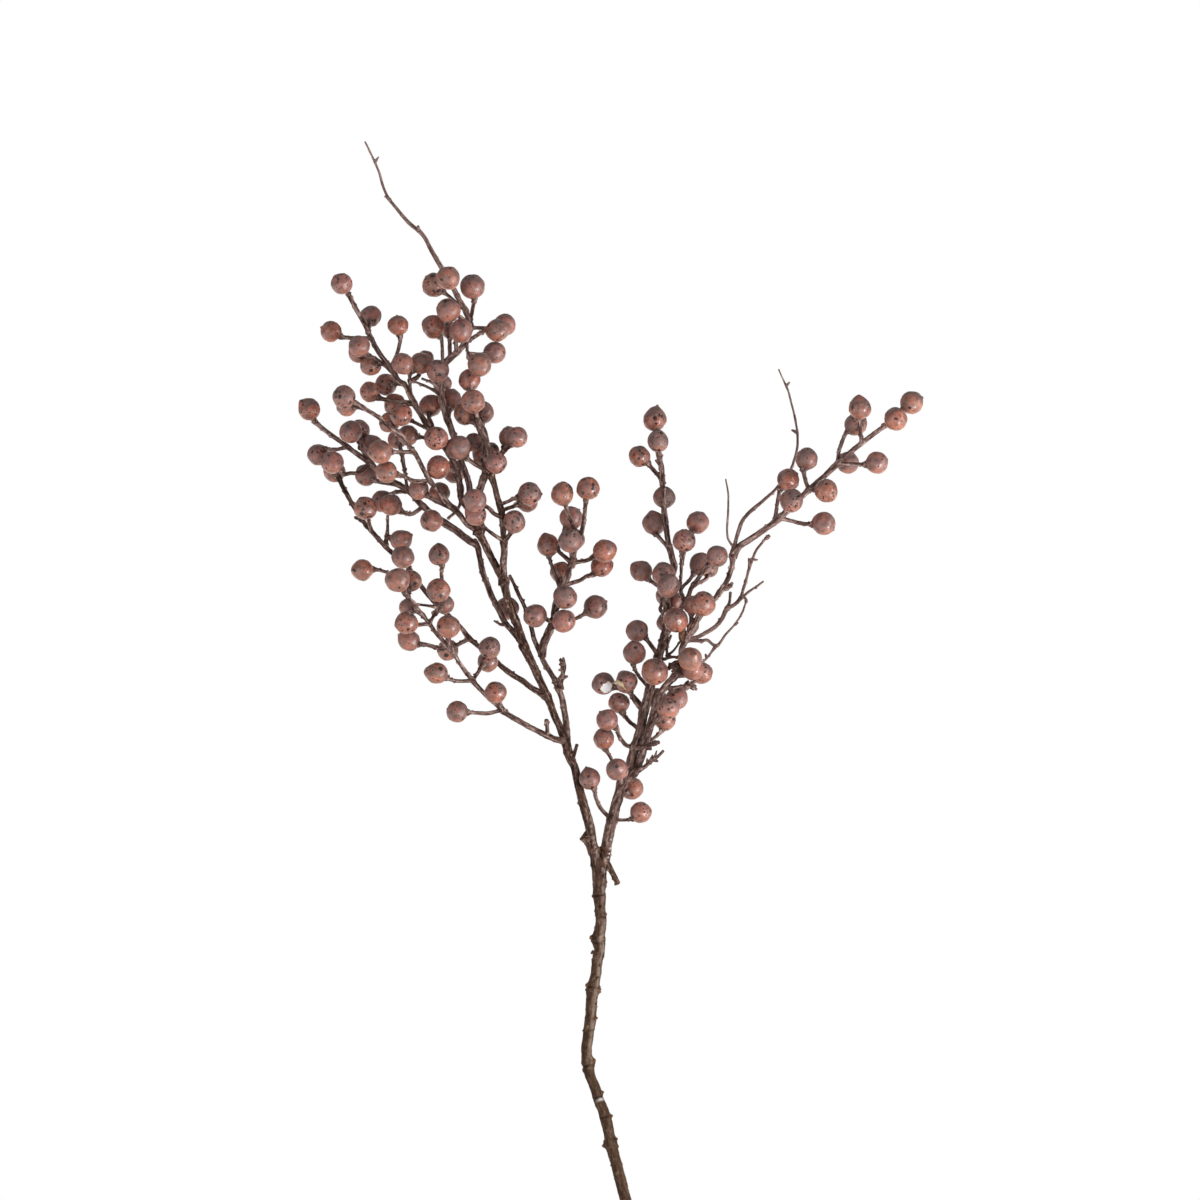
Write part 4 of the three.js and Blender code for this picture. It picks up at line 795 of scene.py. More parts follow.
def bark_tube(
    build, path, radius, pale, seed, knuckles=(), spurs=None,
    trunk=False, bare=False, end_brown=0.0, brown_length=CUT_LENGTH,
):
    """Wood along the path, with ridges, knuckles where something grows, spurs and leaf scars."""
    rng = fresh(seed)
    radius = np.asarray(radius, float)
    widest = radius.max()
    sides = next(count for wider, count in SIDES if widest > wider)
    length = distances(path)
    for point, size in knuckles:
        radius = radius + size * bell(np.linalg.norm(path - point, axis=1) / KNUCKLE_LENGTH)
    angle = circle(sides)
    cos, sin = np.cos(angle)[None], np.sin(angle)[None]
    r, s = radius[:, None], length[:, None]
    flat = np.ones_like(s * cos)

    def rough(scale, grain, seed_step):
        places = np.stack([cos * scale * flat, sin * scale * flat, s * grain * flat], -1)
        found = noise(places.reshape(-1, 3) + NOISE_OFFSET, seed * 13 + seed_step)
        return found.reshape(flat.shape)

    ridge, fine, lump = rough(r * 1.3, 0.17, 1), rough(r * 2.4, 0.62, 2), rough(1.1, 0.11, 3)
    amount = np.minimum(0.08 * r + 0.06, 0.27)
    height = amount * (1.1 * ridge + 0.8 * fine) + 0.11 * r * lump
    if spurs is None:
        sparser = 5 if bare else 1 if widest < 2.4 else 2
        spurs = random_spurs(rng, length[-1], SPUR_SPACING * sparser)
    spur_height = 0 * flat
    for at, turn, tall, wide in spurs:
        around = turned(angle, turn) * r / (0.8 * wide)
        spur_height = spur_height + tall * np.exp(-(((s - at) / wide) ** 2) - around**2)

    groove, band, pale = 0 * flat, 0 * flat, pale + 0 * flat
    brown = end_brown * bell((length[-1] - s) / brown_length) * flat
    high = path[:, 2, None]
    if trunk:
        height, brown, groove, band = trunk_marks(rng, path, r, s, angle, ridge, height, brown)
        # A painted highlight: a paler strip right of the trunk's middle, on the side that faces the
        # light at the lower right
        painted_highlight = bell((turned(angle, np.pi) - 0.45) / 0.4)
        between = (high > PAINTED_HIGHLIGHT_HEIGHTS[0]) & (high < PAINTED_HIGHLIGHT_HEIGHTS[1])
        pale = pale + 0.7 * between * painted_highlight * (1 - groove)
    smooth = fade(high, SMOOTH_ABOVE, SMOOTH_ABOVE + 20)
    spur_height = spur_height * (1 - 0.85 * smooth)
    out = r + height * (1 - 0.4 * smooth) + spur_height
    across, up = frames_along(path)
    outward = cos[..., None] * across[:, None] + sin[..., None] * up[:, None]
    points = path[:, None] + out[..., None] * outward
    groove, band, pale = seen_marks(points, path[:, None, 1], groove, band, pale)
    calm = (0.5 if trunk or bare else 1) * (1 - 0.5 * smooth)
    # The bark's colour follows this relief: partly its own tone, partly painted shade in the
    # grooves and painted highlights on ridges and spurs
    relief = 0.5 + calm * (0.5 * ridge + 0.38 * fine) + 0.55 * spur_height - 0.6 * groove

    # A blunt end: two smaller rings and a pole, which look as the last ring does
    tip = unit(path[-1] - path[-2]) * 0.5 * radius[-1]
    closing = [path[-1] + tip * on + (points[-1] - path[-1]) * wide for on, wide in BLUNT_RINGS]
    lay = np.stack([cos * r, sin * r, s * flat], -1).reshape(-1, 3) + [seed * 7, 0, 0]
    extra = len(BLUNT_RINGS) * sides + 2
    ends = np.zeros(extra)
    build.add(
        np.vstack([points.reshape(-1, 3), *closing, path[:1], path[-1:] + tip]),
        ring_faces(len(path) + len(BLUNT_RINGS), sides),
        relief=np.concatenate([relief.ravel(), ends + 0.35]),
        pale=np.concatenate([pale.ravel(), ends + pale[-1, 0]]),
        band=np.concatenate([band.ravel(), ends]),
        brown=np.concatenate([brown.ravel(), ends + end_brown]),
        lay=np.vstack([lay, lay[-extra:]]),
    )


def twig_wood(build, points, radii, pale, seed, knuckles, rooted, **look):
    """Wood that strays a little from a twig's points, and widens at a thin twig's root."""
    path, places = smooth_curve(points, STEP)
    radius = np.interp(places, np.arange(len(radii)), radii)
    length = distances(path)
    wander = np.minimum(1, length / 10) * np.minimum(1, (length[-1] - length) / 10)
    for axis in (0, 1):
        drift = noise(np.stack([length * 0.11, 0 * length, 0 * length + axis * 9], 1), seed)
        path[:, axis] += WANDER * drift * wander
    if rooted and radii[0] < FLARED_BELOW:
        radius = radius * (1 + ROOT_FLARE * bell(length / FLARE_LENGTH))
    bark_tube(build, path, radius, pale, seed, knuckles, **look)


def stalk_wood(build, stalk, pod_radius, pale, seed):
    """A stalk that widens into the wood at its root and into a spurred collar under the pod."""
    rng = fresh(seed)
    neck = stalk[-1] - unit(stalk[-1] - stalk[-2]) * pod_radius * 0.97
    path, _ = smooth_curve(np.vstack([stalk[:-1], neck]), STEP)
    length = distances(path)
    whole = length[-1]
    radius = (
        STALK_RADIUS * rng.uniform(0.9, 1.1)
        + STALK_FOOT * np.exp(-length / 2)
        + STALK_COLLAR * bell((whole - length) / 1.9)
    )
    spurs = [
        (whole - rng.uniform(0.8, 5.5), rng.uniform(0, 2 * np.pi), rng.uniform(0.4, 1.2), 0.5)
        for _ in range(rng.integers(3, 8))
    ]
    spurs += [
        (rng.uniform(2, max(2.5, whole - 2)), rng.uniform(0, 2 * np.pi), rng.uniform(0.3, 0.9), 0.6)
        for _ in range(rng.poisson(whole / 5))
    ]
    bark_tube(build, path, radius, pale, seed, spurs=spurs)


# Pods

def shred(build, centre):
    """A twisted ribbon of peeled skin, in the pods' material."""
    path, _ = smooth_curve(centre + np.array(SHRED), 0.4)
    share, angle = np.linspace(0, 1, len(path)), circle(SHRED_SIDES)
    across, up = frames_along(path)
    turn = (SHRED_TWIST * share)[:, None]
    wide = 0.3 + 1.25 * np.sin(np.pi * share) ** 0.7 * (1 + 0.3 * np.sin(19 * share))
    flat = np.cos(angle) * wide[:, None]
    points = (
        path[:, None]
        + flat[..., None] * (across * np.cos(turn) + up * np.sin(turn))[:, None]
        + 0.3 * np.sin(angle)[:, None] * (up * np.cos(turn) - across * np.sin(turn))[:, None]
    )
    points = np.vstack([points.reshape(-1, 3), path[:1], path[-1:]])
    none = np.zeros(len(points))
    build.add(
        points, ring_faces(len(path), SHRED_SIDES), local=points, tint=none + 0.5, worn=none,
        pit=none, top=none, along=none, bare=none, peel=none + 1,
    )


def pod_body(build, item, stalk, seed, broken=False):
    """A pod with a neck at its stalk, pits, and on many a blunt crown and a small nose."""
    rng = fresh(seed)
    axis = unit(stalk[-1] - stalk[-2])
    side = unit(np.cross(axis, rng.normal(size=3)))
    finer = BROKEN_FINER if broken else 1
    columns, row_count = finer * POD_COLUMNS, finer * POD_ROWS
    rows = np.linspace(0, 1, row_count + 2)
    fall = np.pi * (rows - 0.5 * np.sin(2 * np.pi * rows) / (2 * np.pi))[1:-1, None]
    angle = circle(columns)
    neck, nose = rng.uniform(0.02, 0.12), rng.choice(POD_NOSES)
    crown, top = rng.choice(POD_CROWNS), unit(rng.normal(size=3) * [0.3, 0.3, 0] + [0, 0, 1])
    out, along = np.sin(fall), -np.cos(fall) + 0 * angle
    grid = np.stack([out * np.cos(angle), out * np.sin(angle), along], -1)
    ball = np.vstack([grid.reshape(-1, 3), [[0, 0, -1], [0, 0, 1]]])
    offset = rng.uniform(0, 90, 3)
    swell = 0.062 * noise(ball * 1.25 + offset, seed) + 0.030 * noise(ball * 3.1 + offset, seed + 1)
    pit = np.zeros(len(ball))
    for _ in range(rng.integers(2, 7)):
        at = unit(rng.normal(size=3) + [0, 0, 0.5])
        gap = np.arccos(np.clip(ball @ at, -1, 1)) * (1 + 0.3 * noise(ball * 4 + offset, seed + 2))
        wide = rng.uniform(0.08, 0.19)
        pit = np.maximum(pit, bell(gap / wide))
        swell -= rng.uniform(0.02, 0.055) * bell(gap / wide)
        swell += 0.012 * bell((gap - 1.7 * wide) / wide)
    shape = ball * (1 + swell[:, None])
    shape[:, :2] *= rng.uniform(0.985, 1.02)
    off_axis = np.linalg.norm(ball[:, :2], axis=1)
    shape[:, 2] -= neck * bell(off_axis / 0.32) * (ball[:, 2] < 0)
    off_top = np.arccos(np.clip(ball @ top, -1, 1))
    pointed = crown * bell(off_top / 0.45) + nose * bell(off_top / 0.12)
    shape += top * (pointed - 0.3 * crown)[:, None]
    world = shape @ np.stack([side, np.cross(axis, side), axis])
    bare = np.zeros(len(ball))
    if broken:
        towards = unit(world) @ unit(np.array(BROKEN_SIDE))
        ragged = 0.45 * noise(ball * 3.3, 5) + 0.35 * noise(ball * 9, 6)
        bare = np.clip((towards - 0.74) / 0.14 + ragged, 0, 1)
        sunk = np.clip((bare - 0.4) / 0.15, 0, 1)
        core = -0.07 * sunk + 0.02 * sunk * noise(ball * 6, 7)
        world = world * (1 + 0.025 * bare * (1 - sunk) + core)[:, None]
    size = POD_SWELL * item["radius"]
    tint, worn = rng.uniform(0, 1), rng.uniform(0.2, 1) ** 2
    none = np.zeros(len(ball))
    build.add(
        stalk[-1] + world * size, ring_faces(row_count, columns), local=ball * size + offset,
        tint=none + tint, worn=none + worn, pit=pit, top=ball @ top, along=ball[:, 2], bare=bare,
        peel=none,
    )


# Materials

class Material:
    """A node material, with short ways to add and join its nodes."""

    def __init__(self, name):
        self.material = bpy.data.materials.new(name)
        self.material.use_nodes = True
        self.nodes = self.material.node_tree.nodes
        self.links = self.material.node_tree.links
        self.shader = self.nodes["Principled BSDF"]

    def node(self, kind, inputs=(), **settings):
        made = self.nodes.new(kind)
        for name, value in settings.items():
            setattr(made, name, value)
        for name, value in dict(inputs).items():
            self.put(made.inputs[name], value)
        return made

    def put(self, socket, value):
        if isinstance(value, bpy.types.NodeSocket):
            self.links.new(value, socket)
        else:
            socket.default_value = value

    def finish(self, **inputs):
        """Joins or sets the shader's inputs, whose names have _ for each space here."""
        for name, value in inputs.items():
            self.put(self.shader.inputs[name.replace("_", " ")], value)
        return self.material

    def layer(self, name, output="Fac"):
        return self.node("ShaderNodeAttribute", attribute_name=name).outputs[output]

    def noise(self, where, scale, detail=3.0, rough=0.5):
        inputs = {"Vector": where, "Scale": scale, "Detail": detail, "Roughness": rough}
        return self.node("ShaderNodeTexNoise", inputs).outputs["Fac"]

    def span(self, value, low, high, to_low=0.0, to_high=1.0):
        ends = {"From Min": low, "From Max": high, "To Min": to_low, "To Max": to_high}
        return self.node("ShaderNodeMapRange", {"Value": value, **ends}).outputs["Result"]

    def maths(self, how, a, b):
        made = self.node("ShaderNodeMath", operation=how)
        self.put(made.inputs[0], a)
        self.put(made.inputs[1], b)
        return made.outputs[0]

    def add(self, a, b):
        return self.maths("ADD", a, b)

    def times(self, a, b):
        return self.maths("MULTIPLY", a, b)

    def most(self, a, b):
        return self.maths("MAXIMUM", a, b)

    def mix(self, share, a, b):
        made = self.node("ShaderNodeMix", data_type="RGBA")
        self.put(made.inputs["Factor"], share)
        self.put(made.inputs["A"], (*a, 1) if isinstance(a, tuple) else a)
        self.put(made.inputs["B"], (*b, 1) if isinstance(b, tuple) else b)
        return made.outputs["Result"]

    def scaled(self, colour, factor):
        made = self.node("ShaderNodeVectorMath", {0: colour, "Scale": factor}, operation="SCALE")
        return made.outputs["Vector"]

    def ramp(self, value, *stops):
        made = self.node("ShaderNodeValToRGB", {"Fac": value})
        elements = made.color_ramp.elements
        for i, (place, colour) in enumerate(stops):
            element = elements[i] if i < 2 else elements.new(place)
            element.position = place
            element.color = (*colour, 1)
        return made.outputs["Color"]

    def bump(self, height, strength, distance):
        inputs = {"Height": height, "Strength": strength, "Distance": distance}
        return self.node("ShaderNodeBump", inputs).outputs["Normal"]


def spots(m, where, scale, smallest, more, share, seed_shift, ragged=0.0):
    """Spots in a share of the cells of a cell pattern: 1 inside a spot, 0 outside."""
    moved = m.node("ShaderNodeVectorMath", operation="ADD")
    m.put(moved.inputs[0], where)
    moved.inputs[1].default_value = (seed_shift, seed_shift * 0.7, seed_shift * 0.3)
    cells = m.node("ShaderNodeTexVoronoi", {"Vector": moved.outputs[0], "Scale": scale})
    chosen = m.node("ShaderNodeSeparateColor", {"Color": cells.outputs["Color"]})
    uneven = m.span(m.noise(where, 2.6 * scale, 2.0), 0.35, 0.65, -ragged, ragged)
    radius = m.span(chosen.outputs["Green"], 0.0, 1.0, smallest, smallest + more)
    inside = m.maths("SUBTRACT", m.add(radius, uneven), cells.outputs["Distance"])
    spot = m.span(inside, -0.01, 0.03)
    return m.times(spot, m.maths("LESS_THAN", chosen.outputs["Red"], share))


def pod_material():
    """Dry skin with dust, mottles and pores, a painted warm light on the underside and painted
    shade on the upper side, and what shows where it is broken or peels.
    """
    m = Material("dusty_pod_skin_with_painted_light")
    local = m.layer("local", "Vector")
    tint = m.layer("tint")

    normal = m.node("ShaderNodeNewGeometry").outputs["Normal"]
    facing = m.node("ShaderNodeSeparateXYZ", {"Vector": normal}).outputs["Z"]
    blotch = m.noise(local, 0.13, 1.0)
    patch = m.noise(local, 0.28, 1.0)
    mottle = m.noise(local, 0.62, 2.0, 0.45)
    grain = m.noise(local, 2.2, 3.0, 0.6)
    # Mauve brown pods, pink, tan and redder ones, with redder patches on each
    mauve, pink = (0.275, 0.128, 0.106), (0.44, 0.174, 0.142)
    tan, red = (0.42, 0.172, 0.114), (0.41, 0.128, 0.082)
    skin = m.ramp(tint, (0.05, mauve), (0.38, pink), (0.68, tan), (0.97, red))
    skin = m.mix(m.span(patch, 0.48, 0.66, 0.0, 0.4), skin, (0.43, 0.125, 0.080))
    # The underside is painted a warmer tan, a painted warm light from below; the upper side is
    # painted a darker mauve grey, partly dust and partly painted shade
    skin = m.mix(m.span(facing, -0.9, -0.1, 0.5, 0.0), skin, (0.55, 0.225, 0.140))
    dust_and_painted_shade = m.add(m.span(facing, -0.4, 0.7, 0.0, 0.5), m.span(blotch, 0.42, 0.58, -0.3, 0.4))
    skin = m.mix(dust_and_painted_shade, skin, (0.225, 0.138, 0.123))
    # Mottled, darker and lighter than the mean
    shade = m.times(m.span(mottle, 0.36, 0.62, 0.88, 1.06), m.span(patch, 0.34, 0.62, 0.66, 1.10))
    skin = m.scaled(skin, m.times(shade, m.span(grain, 0.35, 0.65, 0.96, 1.04)))
    # Dark pores, specks and old pits, more of them on a worn pod
    worn = m.layer("worn")
    cluster = m.times(worn, m.span(patch, 0.44, 0.56, 0.1, 1.1))
    pores = spots(m, local, 0.24, 0.15, 0.22, m.times(worn, 0.75), 0.0, 0.07)
    specks = spots(m, local, 0.50, 0.19, 0.18, cluster, 5.3, 0.06)
    marks = m.most(m.most(pores, specks), m.span(m.layer("pit"), 0.58, 0.78))
    tip = m.span(m.layer("top"), 0.985, 0.997)
    marks = m.most(marks, m.times(tip, 0.7))
    skin = m.mix(m.times(marks, 0.96), skin, (0.012, 0.004, 0.003))
    neck = m.span(m.layer("along"), -0.98, -0.82, 0.8, 0.0)
    skin = m.mix(neck, skin, (0.085, 0.045, 0.035))
    # Broken skin over a pale core, and its ragged edge
    bare = m.layer("bare")
    skin = m.mix(m.span(bare, 0.12, 0.3), skin, (0.46, 0.19, 0.09))
    skin = m.mix(m.span(bare, 0.44, 0.5), skin, (0.97, 0.95, 0.95))
    skin = m.mix(m.span(m.layer("peel"), 0.45, 0.6), skin, (0.62, 0.46, 0.28))
    rough = m.add(m.span(mottle, 0.36, 0.62, 0.23, 0.37), m.span(tint, 0.0, 1.0, 0.14, 0.0))
    height = m.maths("SUBTRACT", m.times(m.add(mottle, grain), 0.35), marks)
    return m.finish(
        Base_Color=skin, Roughness=rough, Specular_IOR_Level=0.8,
        Normal=m.bump(height, 0.25, 0.0004),
    )


def bark_material():
    """Ridged bark: dark or pale, browner low on the stem, with pale marks and small holes. Its
    colour follows the relief, with painted shade in the grooves and painted highlights on raised
    bark, and some pale marks are painted highlights.
    """
    m = Material("dry_bark")
    place = m.node("ShaderNodeTexCoord").outputs["Object"]
    high = m.node("ShaderNodeSeparateXYZ", {"Vector": place}).outputs["Z"]
    pale = m.layer("pale")
    broad = m.noise(place, 130.0, 3.0)
    grain = m.noise(place, 900.0, 4.0, 0.6)
    stretch = m.node("ShaderNodeVectorMath", {0: m.layer("lay", "Vector")}, operation="MULTIPLY")
    stretch.inputs[1].default_value = (1.0, 1.0, 0.13)
    streak = m.noise(stretch.outputs[0], 1.7, 4.0, 0.6)
    holes = spots(m, m.layer("lay", "Vector"), 0.5, 0.10, 0.22, 0.3, 2.2, 0.12)
    old = m.span(high, 0.34, 0.50, 0.95, 0.0)
    fine = m.add(m.span(grain, 0.3, 0.7, -0.14, 0.14), m.span(streak, 0.32, 0.68, -0.26, 0.26))
    relief = m.add(m.layer("relief"), m.times(fine, m.span(old, 0.0, 1.0, 1.0, 0.55)))
    # Colour by relief: low places painted darker, a painted shade, and raised bark and spurs paler,
    # a painted highlight, over the bark's own tones
    dark = m.ramp(
        relief, (0.15, (0.022, 0.010, 0.007)), (0.55, (0.096, 0.047, 0.033)),
        (0.80, (0.190, 0.110, 0.085)), (1.0, (0.42, 0.29, 0.235)),
    )
    light = m.ramp(
        relief, (0.12, (0.078, 0.037, 0.030)), (0.5, (0.250, 0.150, 0.133)),
        (1.0, (0.56, 0.405, 0.365)),
    )
    wood = m.mix(m.add(pale, m.span(broad, 0.35, 0.7, -0.15, 0.25)), dark, light)
    # The oldest wood, low on the stem, is browner
    brown = m.ramp(
        relief, (0.05, (0.022, 0.010, 0.005)), (0.5, (0.080, 0.040, 0.021)),
        (1.0, (0.25, 0.160, 0.105)),
    )
    beige = m.ramp(
        relief, (0.15, (0.065, 0.036, 0.023)), (0.5, (0.225, 0.152, 0.108)),
        (1.0, (0.42, 0.33, 0.26)),
    )
    wood = m.mix(old, wood, m.mix(m.span(pale, 0.1, 0.75), brown, beige))
    # Pale and white marks from the band layer: the pale patch under a scar, and flecks that are
    # partly painted highlights
    band = m.layer("band")
    wood = m.mix(m.span(band, 0.0, 1.0), wood, (0.38, 0.32, 0.30))
    wood = m.mix(m.span(band, 1.0, 1.3), wood, (0.95, 0.92, 0.90))
    wood = m.mix(m.times(holes, 0.75), wood, (0.018, 0.008, 0.005))
    wood = m.mix(m.layer("brown"), wood, (0.27, 0.12, 0.05))
    return m.finish(
        Base_Color=wood, Roughness=m.span(relief, 0.3, 0.9, 0.65, 0.42), Specular_IOR_Level=0.15,
        Normal=m.bump(m.add(grain, streak), 0.5, 0.0003),
    )


def glaze_material():
    """Off-white glaze with brown specks, over a bare clay foot."""
    m = Material("speckled_stoneware_glaze")
    place = m.node("ShaderNodeTexCoord").outputs["Object"]
    high = m.node("ShaderNodeSeparateXYZ", {"Vector": place}).outputs["Z"]
    cloud = m.noise(place, 22.0, 4.0, 0.55)
    fine = m.noise(place, 420.0, 3.0)
    glaze = m.ramp(cloud, (0.3, (0.60, 0.545, 0.455)), (0.7, (0.72, 0.675, 0.59)))
    iron = spots(m, place, 260.0, 0.0, 0.42, 0.16, 3.1)
    freckle = spots(m, place, 700.0, 0.0, 0.5, 0.14, 8.2)
    speckle = m.most(m.times(iron, 0.75), m.times(freckle, 0.5))
    glaze = m.mix(speckle, glaze, (0.16, 0.085, 0.045))
    # The glaze runs thin and brown over sharp edges, and the foot is bare clay
    thin = m.layer("thin")
    glaze = m.mix(m.times(thin, 0.75), glaze, (0.33, 0.19, 0.105))
    line = m.add(high, m.span(m.noise(place, 60.0, 2.0), 0.0, 1.0, -0.0012, 0.0012))
    clay = m.span(line, 0.0045, 0.0052, 1.0, 0.0)
    earth = m.ramp(fine, (0.35, (0.42, 0.29, 0.20)), (0.7, (0.56, 0.42, 0.31)))
    rough = m.add(m.span(cloud, 0.3, 0.7, 0.22, 0.34), m.times(clay, 0.55))
    return m.finish(
        Base_Color=m.mix(clay, glaze, earth), Roughness=rough, Coat_Weight=0.3,
        Coat_Roughness=0.12, Normal=m.bump(m.add(m.times(cloud, 2.0), fine), 0.25, 0.0004),
    )


# Jug

def draw_spout(points):
    """Draws the lip out to the left, over a channel that fades out down the neck."""
    x, y, z = points.T.copy()
    turn = np.arctan2(y, -x) / SPOUT_HALF_ANGLE
    up = fade(z, SPOUT_FOOT, JUG_HEIGHT)
    drawn = bell(turn) * (np.hypot(x, y) > 1)
    x -= SPOUT_REACH * drawn * up**SPOUT_LEAN
    z += SPOUT_RISE * drawn * up**SPOUT_LIFT
    return np.stack([x, y, z], 1)


def jug_body(build):
    """The turned body, from the middle of its foot up over the lip and down to its floor."""
    line = [*JUG_OUTSIDE, JUG_LIP, *JUG_INSIDE]
    curve, _ = smooth_curve([[radius, 0, height] for radius, height in line], 2.2)
    floor = [[radius, 0, FLOOR_THICKNESS] for radius in np.linspace(40, 4, 10)]
    under = [[radius, 0, 0] for radius in np.linspace(4, 43, 10)]
    profile = np.vstack([under, curve, floor])
    height = profile[:, 2]
    rings = 0.16 * np.sin(height * 0.62) * fade(height, 12, 24)
    inner = np.arange(len(profile)) > len(profile) * 0.55
    radius = profile[:, 0] + rings * np.clip((188 - height) / 10, 0, 1) * np.where(inner, -0.7, 1)
    angle, out = circle(JUG_COLUMNS), radius[:, None]
    wheel = [out * np.cos(angle), out * np.sin(angle), height[:, None] + 0 * angle]
    points = draw_spout(np.stack(wheel, -1).reshape(-1, 3))
    points = np.vstack([points, [[0, 0, 0], [0, 0, FLOOR_THICKNESS]]])
    lip = bell((height - 200.4) / 1.5)
    thin = np.concatenate([np.repeat(lip, JUG_COLUMNS), [0, 0]])
    build.add(points, ring_faces(len(profile), JUG_COLUMNS), thin=thin)


def jug_handle(build):
    """A strap that widens where it joins the body."""
    path, _ = smooth_curve([[x, 0, z] for x, z in HANDLE_LINE], 2.0)
    share = np.linspace(0, 1, len(path))
    angle = circle(HANDLE_SIDES)
    near_end = bell(share / 0.07) + bell((1 - share) / 0.07)
    wide = HANDLE_WIDTH / 2 * (0.94 + 0.10 * near_end)
    thick = HANDLE_THICKNESS / 2 * (0.94 + 0.24 * near_end)
    # A strap's section: nearly flat faces, round edges, and a shallow groove down the outside
    cos, sin = np.cos(angle), np.sin(angle)
    square = np.sign(cos) * np.abs(cos) ** 0.8
    groove = 1 - 0.16 * bell(square / 0.35)
    along = unit(np.gradient(path, axis=0))
    out = np.cross(along, [0, 1, 0])
    points = (
        path[:, None]
        + (wide[:, None] * square)[..., None] * np.array([0, 1, 0])
        + (thick[:, None] * sin * groove)[..., None] * out[:, None]
    )
    points = np.vstack([points.reshape(-1, 3), path[:1], path[-1:]])
    edge = np.tile(0.55 * fade(np.abs(square), 0.9, 1), len(path))
    build.add(points, ring_faces(len(path), HANDLE_SIDES), thin=np.concatenate([edge, [0, 0]]))


# The setting

def camera():
    data = bpy.data.cameras.new("camera")
    data.sensor_width = SENSOR
    data.lens = SENSOR * VIEW_DISTANCE / VIEW_WIDTH
    data.clip_end = 60
    made = bpy.data.objects.new("camera", data)
    made.location = Vector((VIEW_MIDDLE[0], -VIEW_DISTANCE, VIEW_MIDDLE[1])) * MM
    made.rotation_euler = (math.pi / 2, 0, 0)
    bpy.context.scene.collection.objects.link(made)
    bpy.context.scene.camera = made


def soft_light(name, place, aim, power, size):
    data = bpy.data.lights.new(name, "AREA")
    data.energy = power
    data.shape = "DISK"
    data.size = size
    made = bpy.data.objects.new(name, data)
    made.location = place
    made.rotation_euler = (Vector(aim) - Vector(place)).to_track_quat("-Z", "Y").to_euler()
    made.visible_camera = False
    bpy.context.scene.collection.objects.link(made)


def white_surround(light):
    """An even white background, whose light on the object is set apart from how bright it looks."""
    world = bpy.data.worlds.new("white_surround")
    world.use_nodes = True
    nodes, links = world.node_tree.nodes, world.node_tree.links
    lit = nodes["Background"]
    lit.inputs["Color"].default_value = (1, 1, 1, 1)
    lit.inputs["Strength"].default_value = light
    seen = nodes.new("ShaderNodeBackground")
    seen.inputs["Color"].default_value = (1, 1, 1, 1)
    mix = nodes.new("ShaderNodeMixShader")
    links.new(nodes.new("ShaderNodeLightPath").outputs["Is Camera Ray"], mix.inputs[0])
    links.new(lit.outputs[0], mix.inputs[1])
    links.new(seen.outputs[0], mix.inputs[2])
    links.new(mix.outputs[0], nodes["World Output"].inputs["Surface"])
    bpy.context.scene.world = world


def pale_floor():
    """A round floor under the jug that melts into the white surround."""
    bpy.ops.mesh.primitive_circle_add(vertices=96, radius=3.2, fill_type="TRIFAN")
    floor = bpy.context.object
    floor.name = "floor"
    m = Material("pale_floor")
    place = m.node("ShaderNodeTexCoord").outputs["Object"]
    away = m.node("ShaderNodeVectorMath", {0: place}, operation="LENGTH").outputs["Value"]
    grain = m.noise(place, 300.0, 2.0)
    pale = m.mix(m.span(grain, 0.3, 0.7), (0.86, 0.86, 0.855), (0.90, 0.90, 0.895))
    floor.data.materials.append(m.finish(Base_Color=pale, Roughness=0.7))
    white = m.node("ShaderNodeEmission", {"Strength": 1.4}).outputs[0]
    mix = m.node("ShaderNodeMixShader")
    m.put(mix.inputs[0], m.span(away, 0.35, 1.6))
    m.links.new(m.shader.outputs[0], mix.inputs[1])
    m.links.new(white, mix.inputs[2])
    m.links.new(mix.outputs[0], m.nodes["Material Output"].inputs["Surface"])


# The model

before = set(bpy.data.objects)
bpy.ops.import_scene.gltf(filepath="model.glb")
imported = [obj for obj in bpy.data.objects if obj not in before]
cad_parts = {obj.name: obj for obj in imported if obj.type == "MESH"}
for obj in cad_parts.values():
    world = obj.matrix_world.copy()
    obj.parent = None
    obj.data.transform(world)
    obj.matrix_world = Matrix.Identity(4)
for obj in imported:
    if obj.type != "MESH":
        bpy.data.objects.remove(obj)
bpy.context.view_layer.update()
camera()

BARK = bark_material()
PODS = pod_material()
GLAZE = glaze_material()

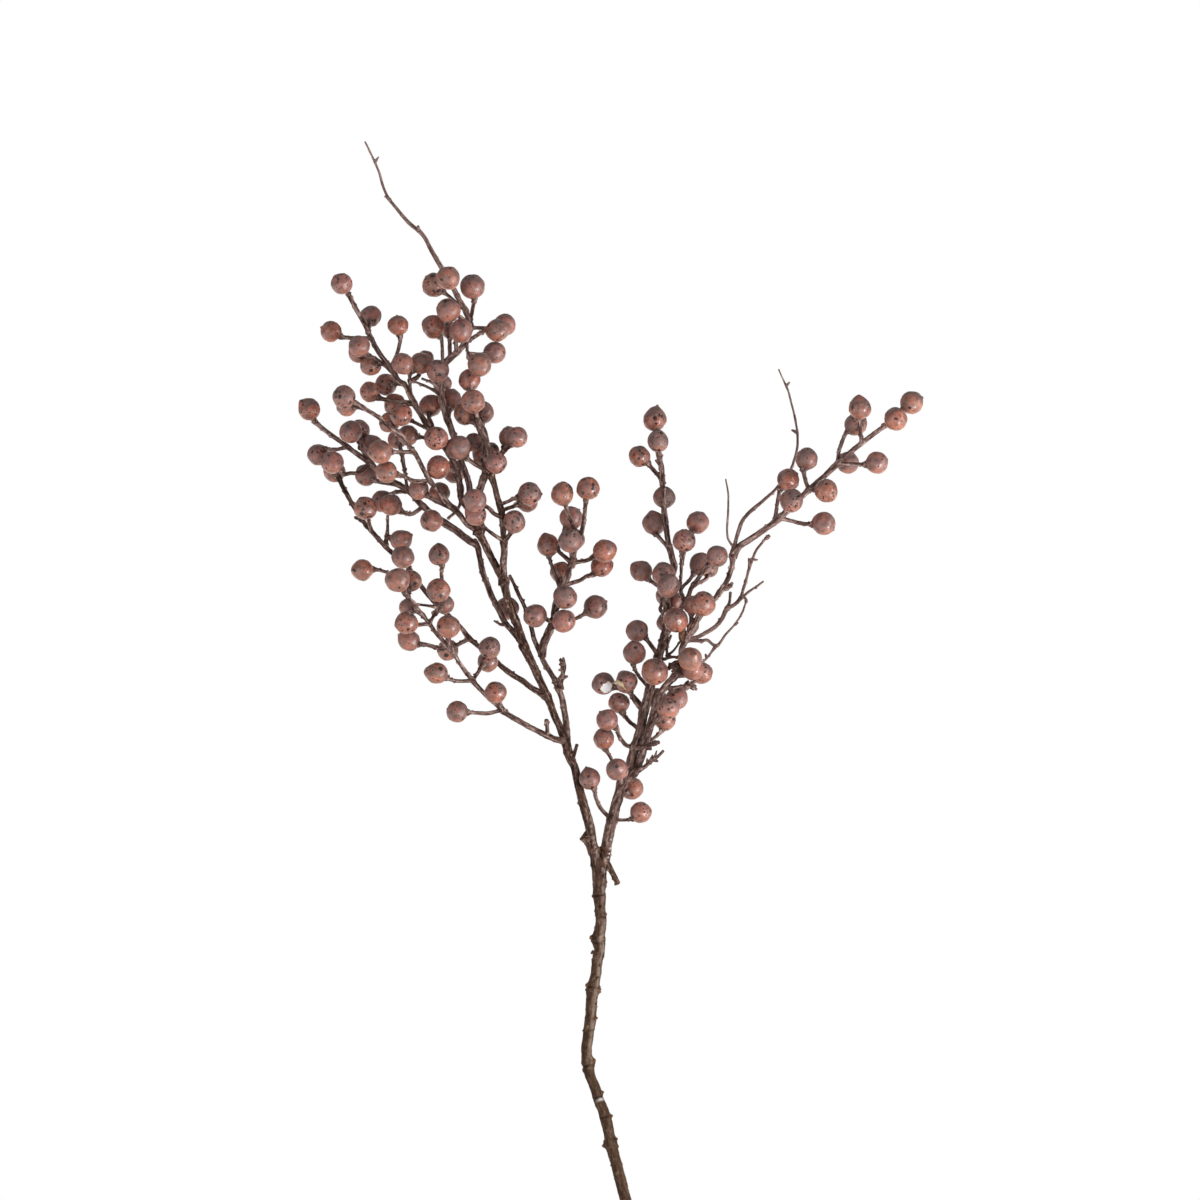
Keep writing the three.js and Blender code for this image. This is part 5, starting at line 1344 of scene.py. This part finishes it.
layout = lay_out()
roots = {}  # on each node's wood, where something else grows from it
for name, carrier, _ in STEM:
    twigs, pods = layout[name]
    for i, (points, radii) in enumerate(twigs):
        if radii[0] < FLARED_BELOW:
            from_node = name if i or not carrier else carrier
            roots.setdefault(from_node, []).append((points[0], KNUCKLE * radii[0]))
    for _, stalk in pods:
        roots.setdefault(name, []).append((stalk[0], STALK_KNUCKLE))

for index, (name, carrier, _) in enumerate(STEM):
    twigs, pods = layout[name]
    seed, pale = NODE_SEEDS * index, PALE[name]
    wood, details = Build(), DETAILS.get(name, ())
    lines = twigs + [twig_line(item, [points for points, _ in twigs]) for item in details]
    for i, (points, radii) in enumerate(lines):
        item = details[i - len(twigs)] if i >= len(twigs) else {}
        bud = name == "trunk" and len(points) == 2 and radii[0] < FLARED_BELOW
        twig_wood(
            wood, points, radii, item.get("pale", pale - 0.4 if bud else pale), seed + i,
            roots.get(name, ()), rooted=bool(i or carrier), trunk=name == "trunk" and i == 0,
            bare=name in BARE_TWIGS,
            end_brown=item.get("brown", 0.8 if bud else 0.2 if radii[-1] > 1.4 else 0.0),
            brown_length=HUSK_LENGTH if "brown" in item else CUT_LENGTH,
        )
    for i, (item, stalk) in enumerate(pods):
        stalk_wood(wood, stalk, item["radius"], pale + 0.08, seed + STALK_SEEDS + i)
    wood.piece(f"{name}_wood", BARK, "bark", name)
    if pods:
        bodies = Build()
        for i, (item, stalk) in enumerate(pods):
            here = (name, item["x"], item["z"])
            pod_body(bodies, item, stalk, seed + POD_SEEDS + i, here == BROKEN_POD)
            if here == PEELING_POD:
                shred(bodies, stalk[-1])
        bodies.piece(f"{name}_pods", PODS, "pods", name)

jug = Build()
jug_body(jug)
jug_handle(jug)
jug.piece("glazed_jug", GLAZE, "glaze", "jug")

white_surround(light=0.35)
soft_light("key_low_right", (0.9, -0.75, 0.05), (-0.08, 0, 0.62), 12.4, 0.33)
soft_light("side_right", (1.3, -0.45, 0.72), (-0.08, 0, 0.62), 5, 0.8)
soft_light("fill_left", (-1.5, -1.6, 0.9), (-0.08, 0, 0.55), 3, 0.8)
soft_light("back", (-0.06, 2.2, 0.8), (-0.06, 0, 0.45), 14, 1.2)
pale_floor()
bpy.context.scene.view_settings.view_transform = "Standard"
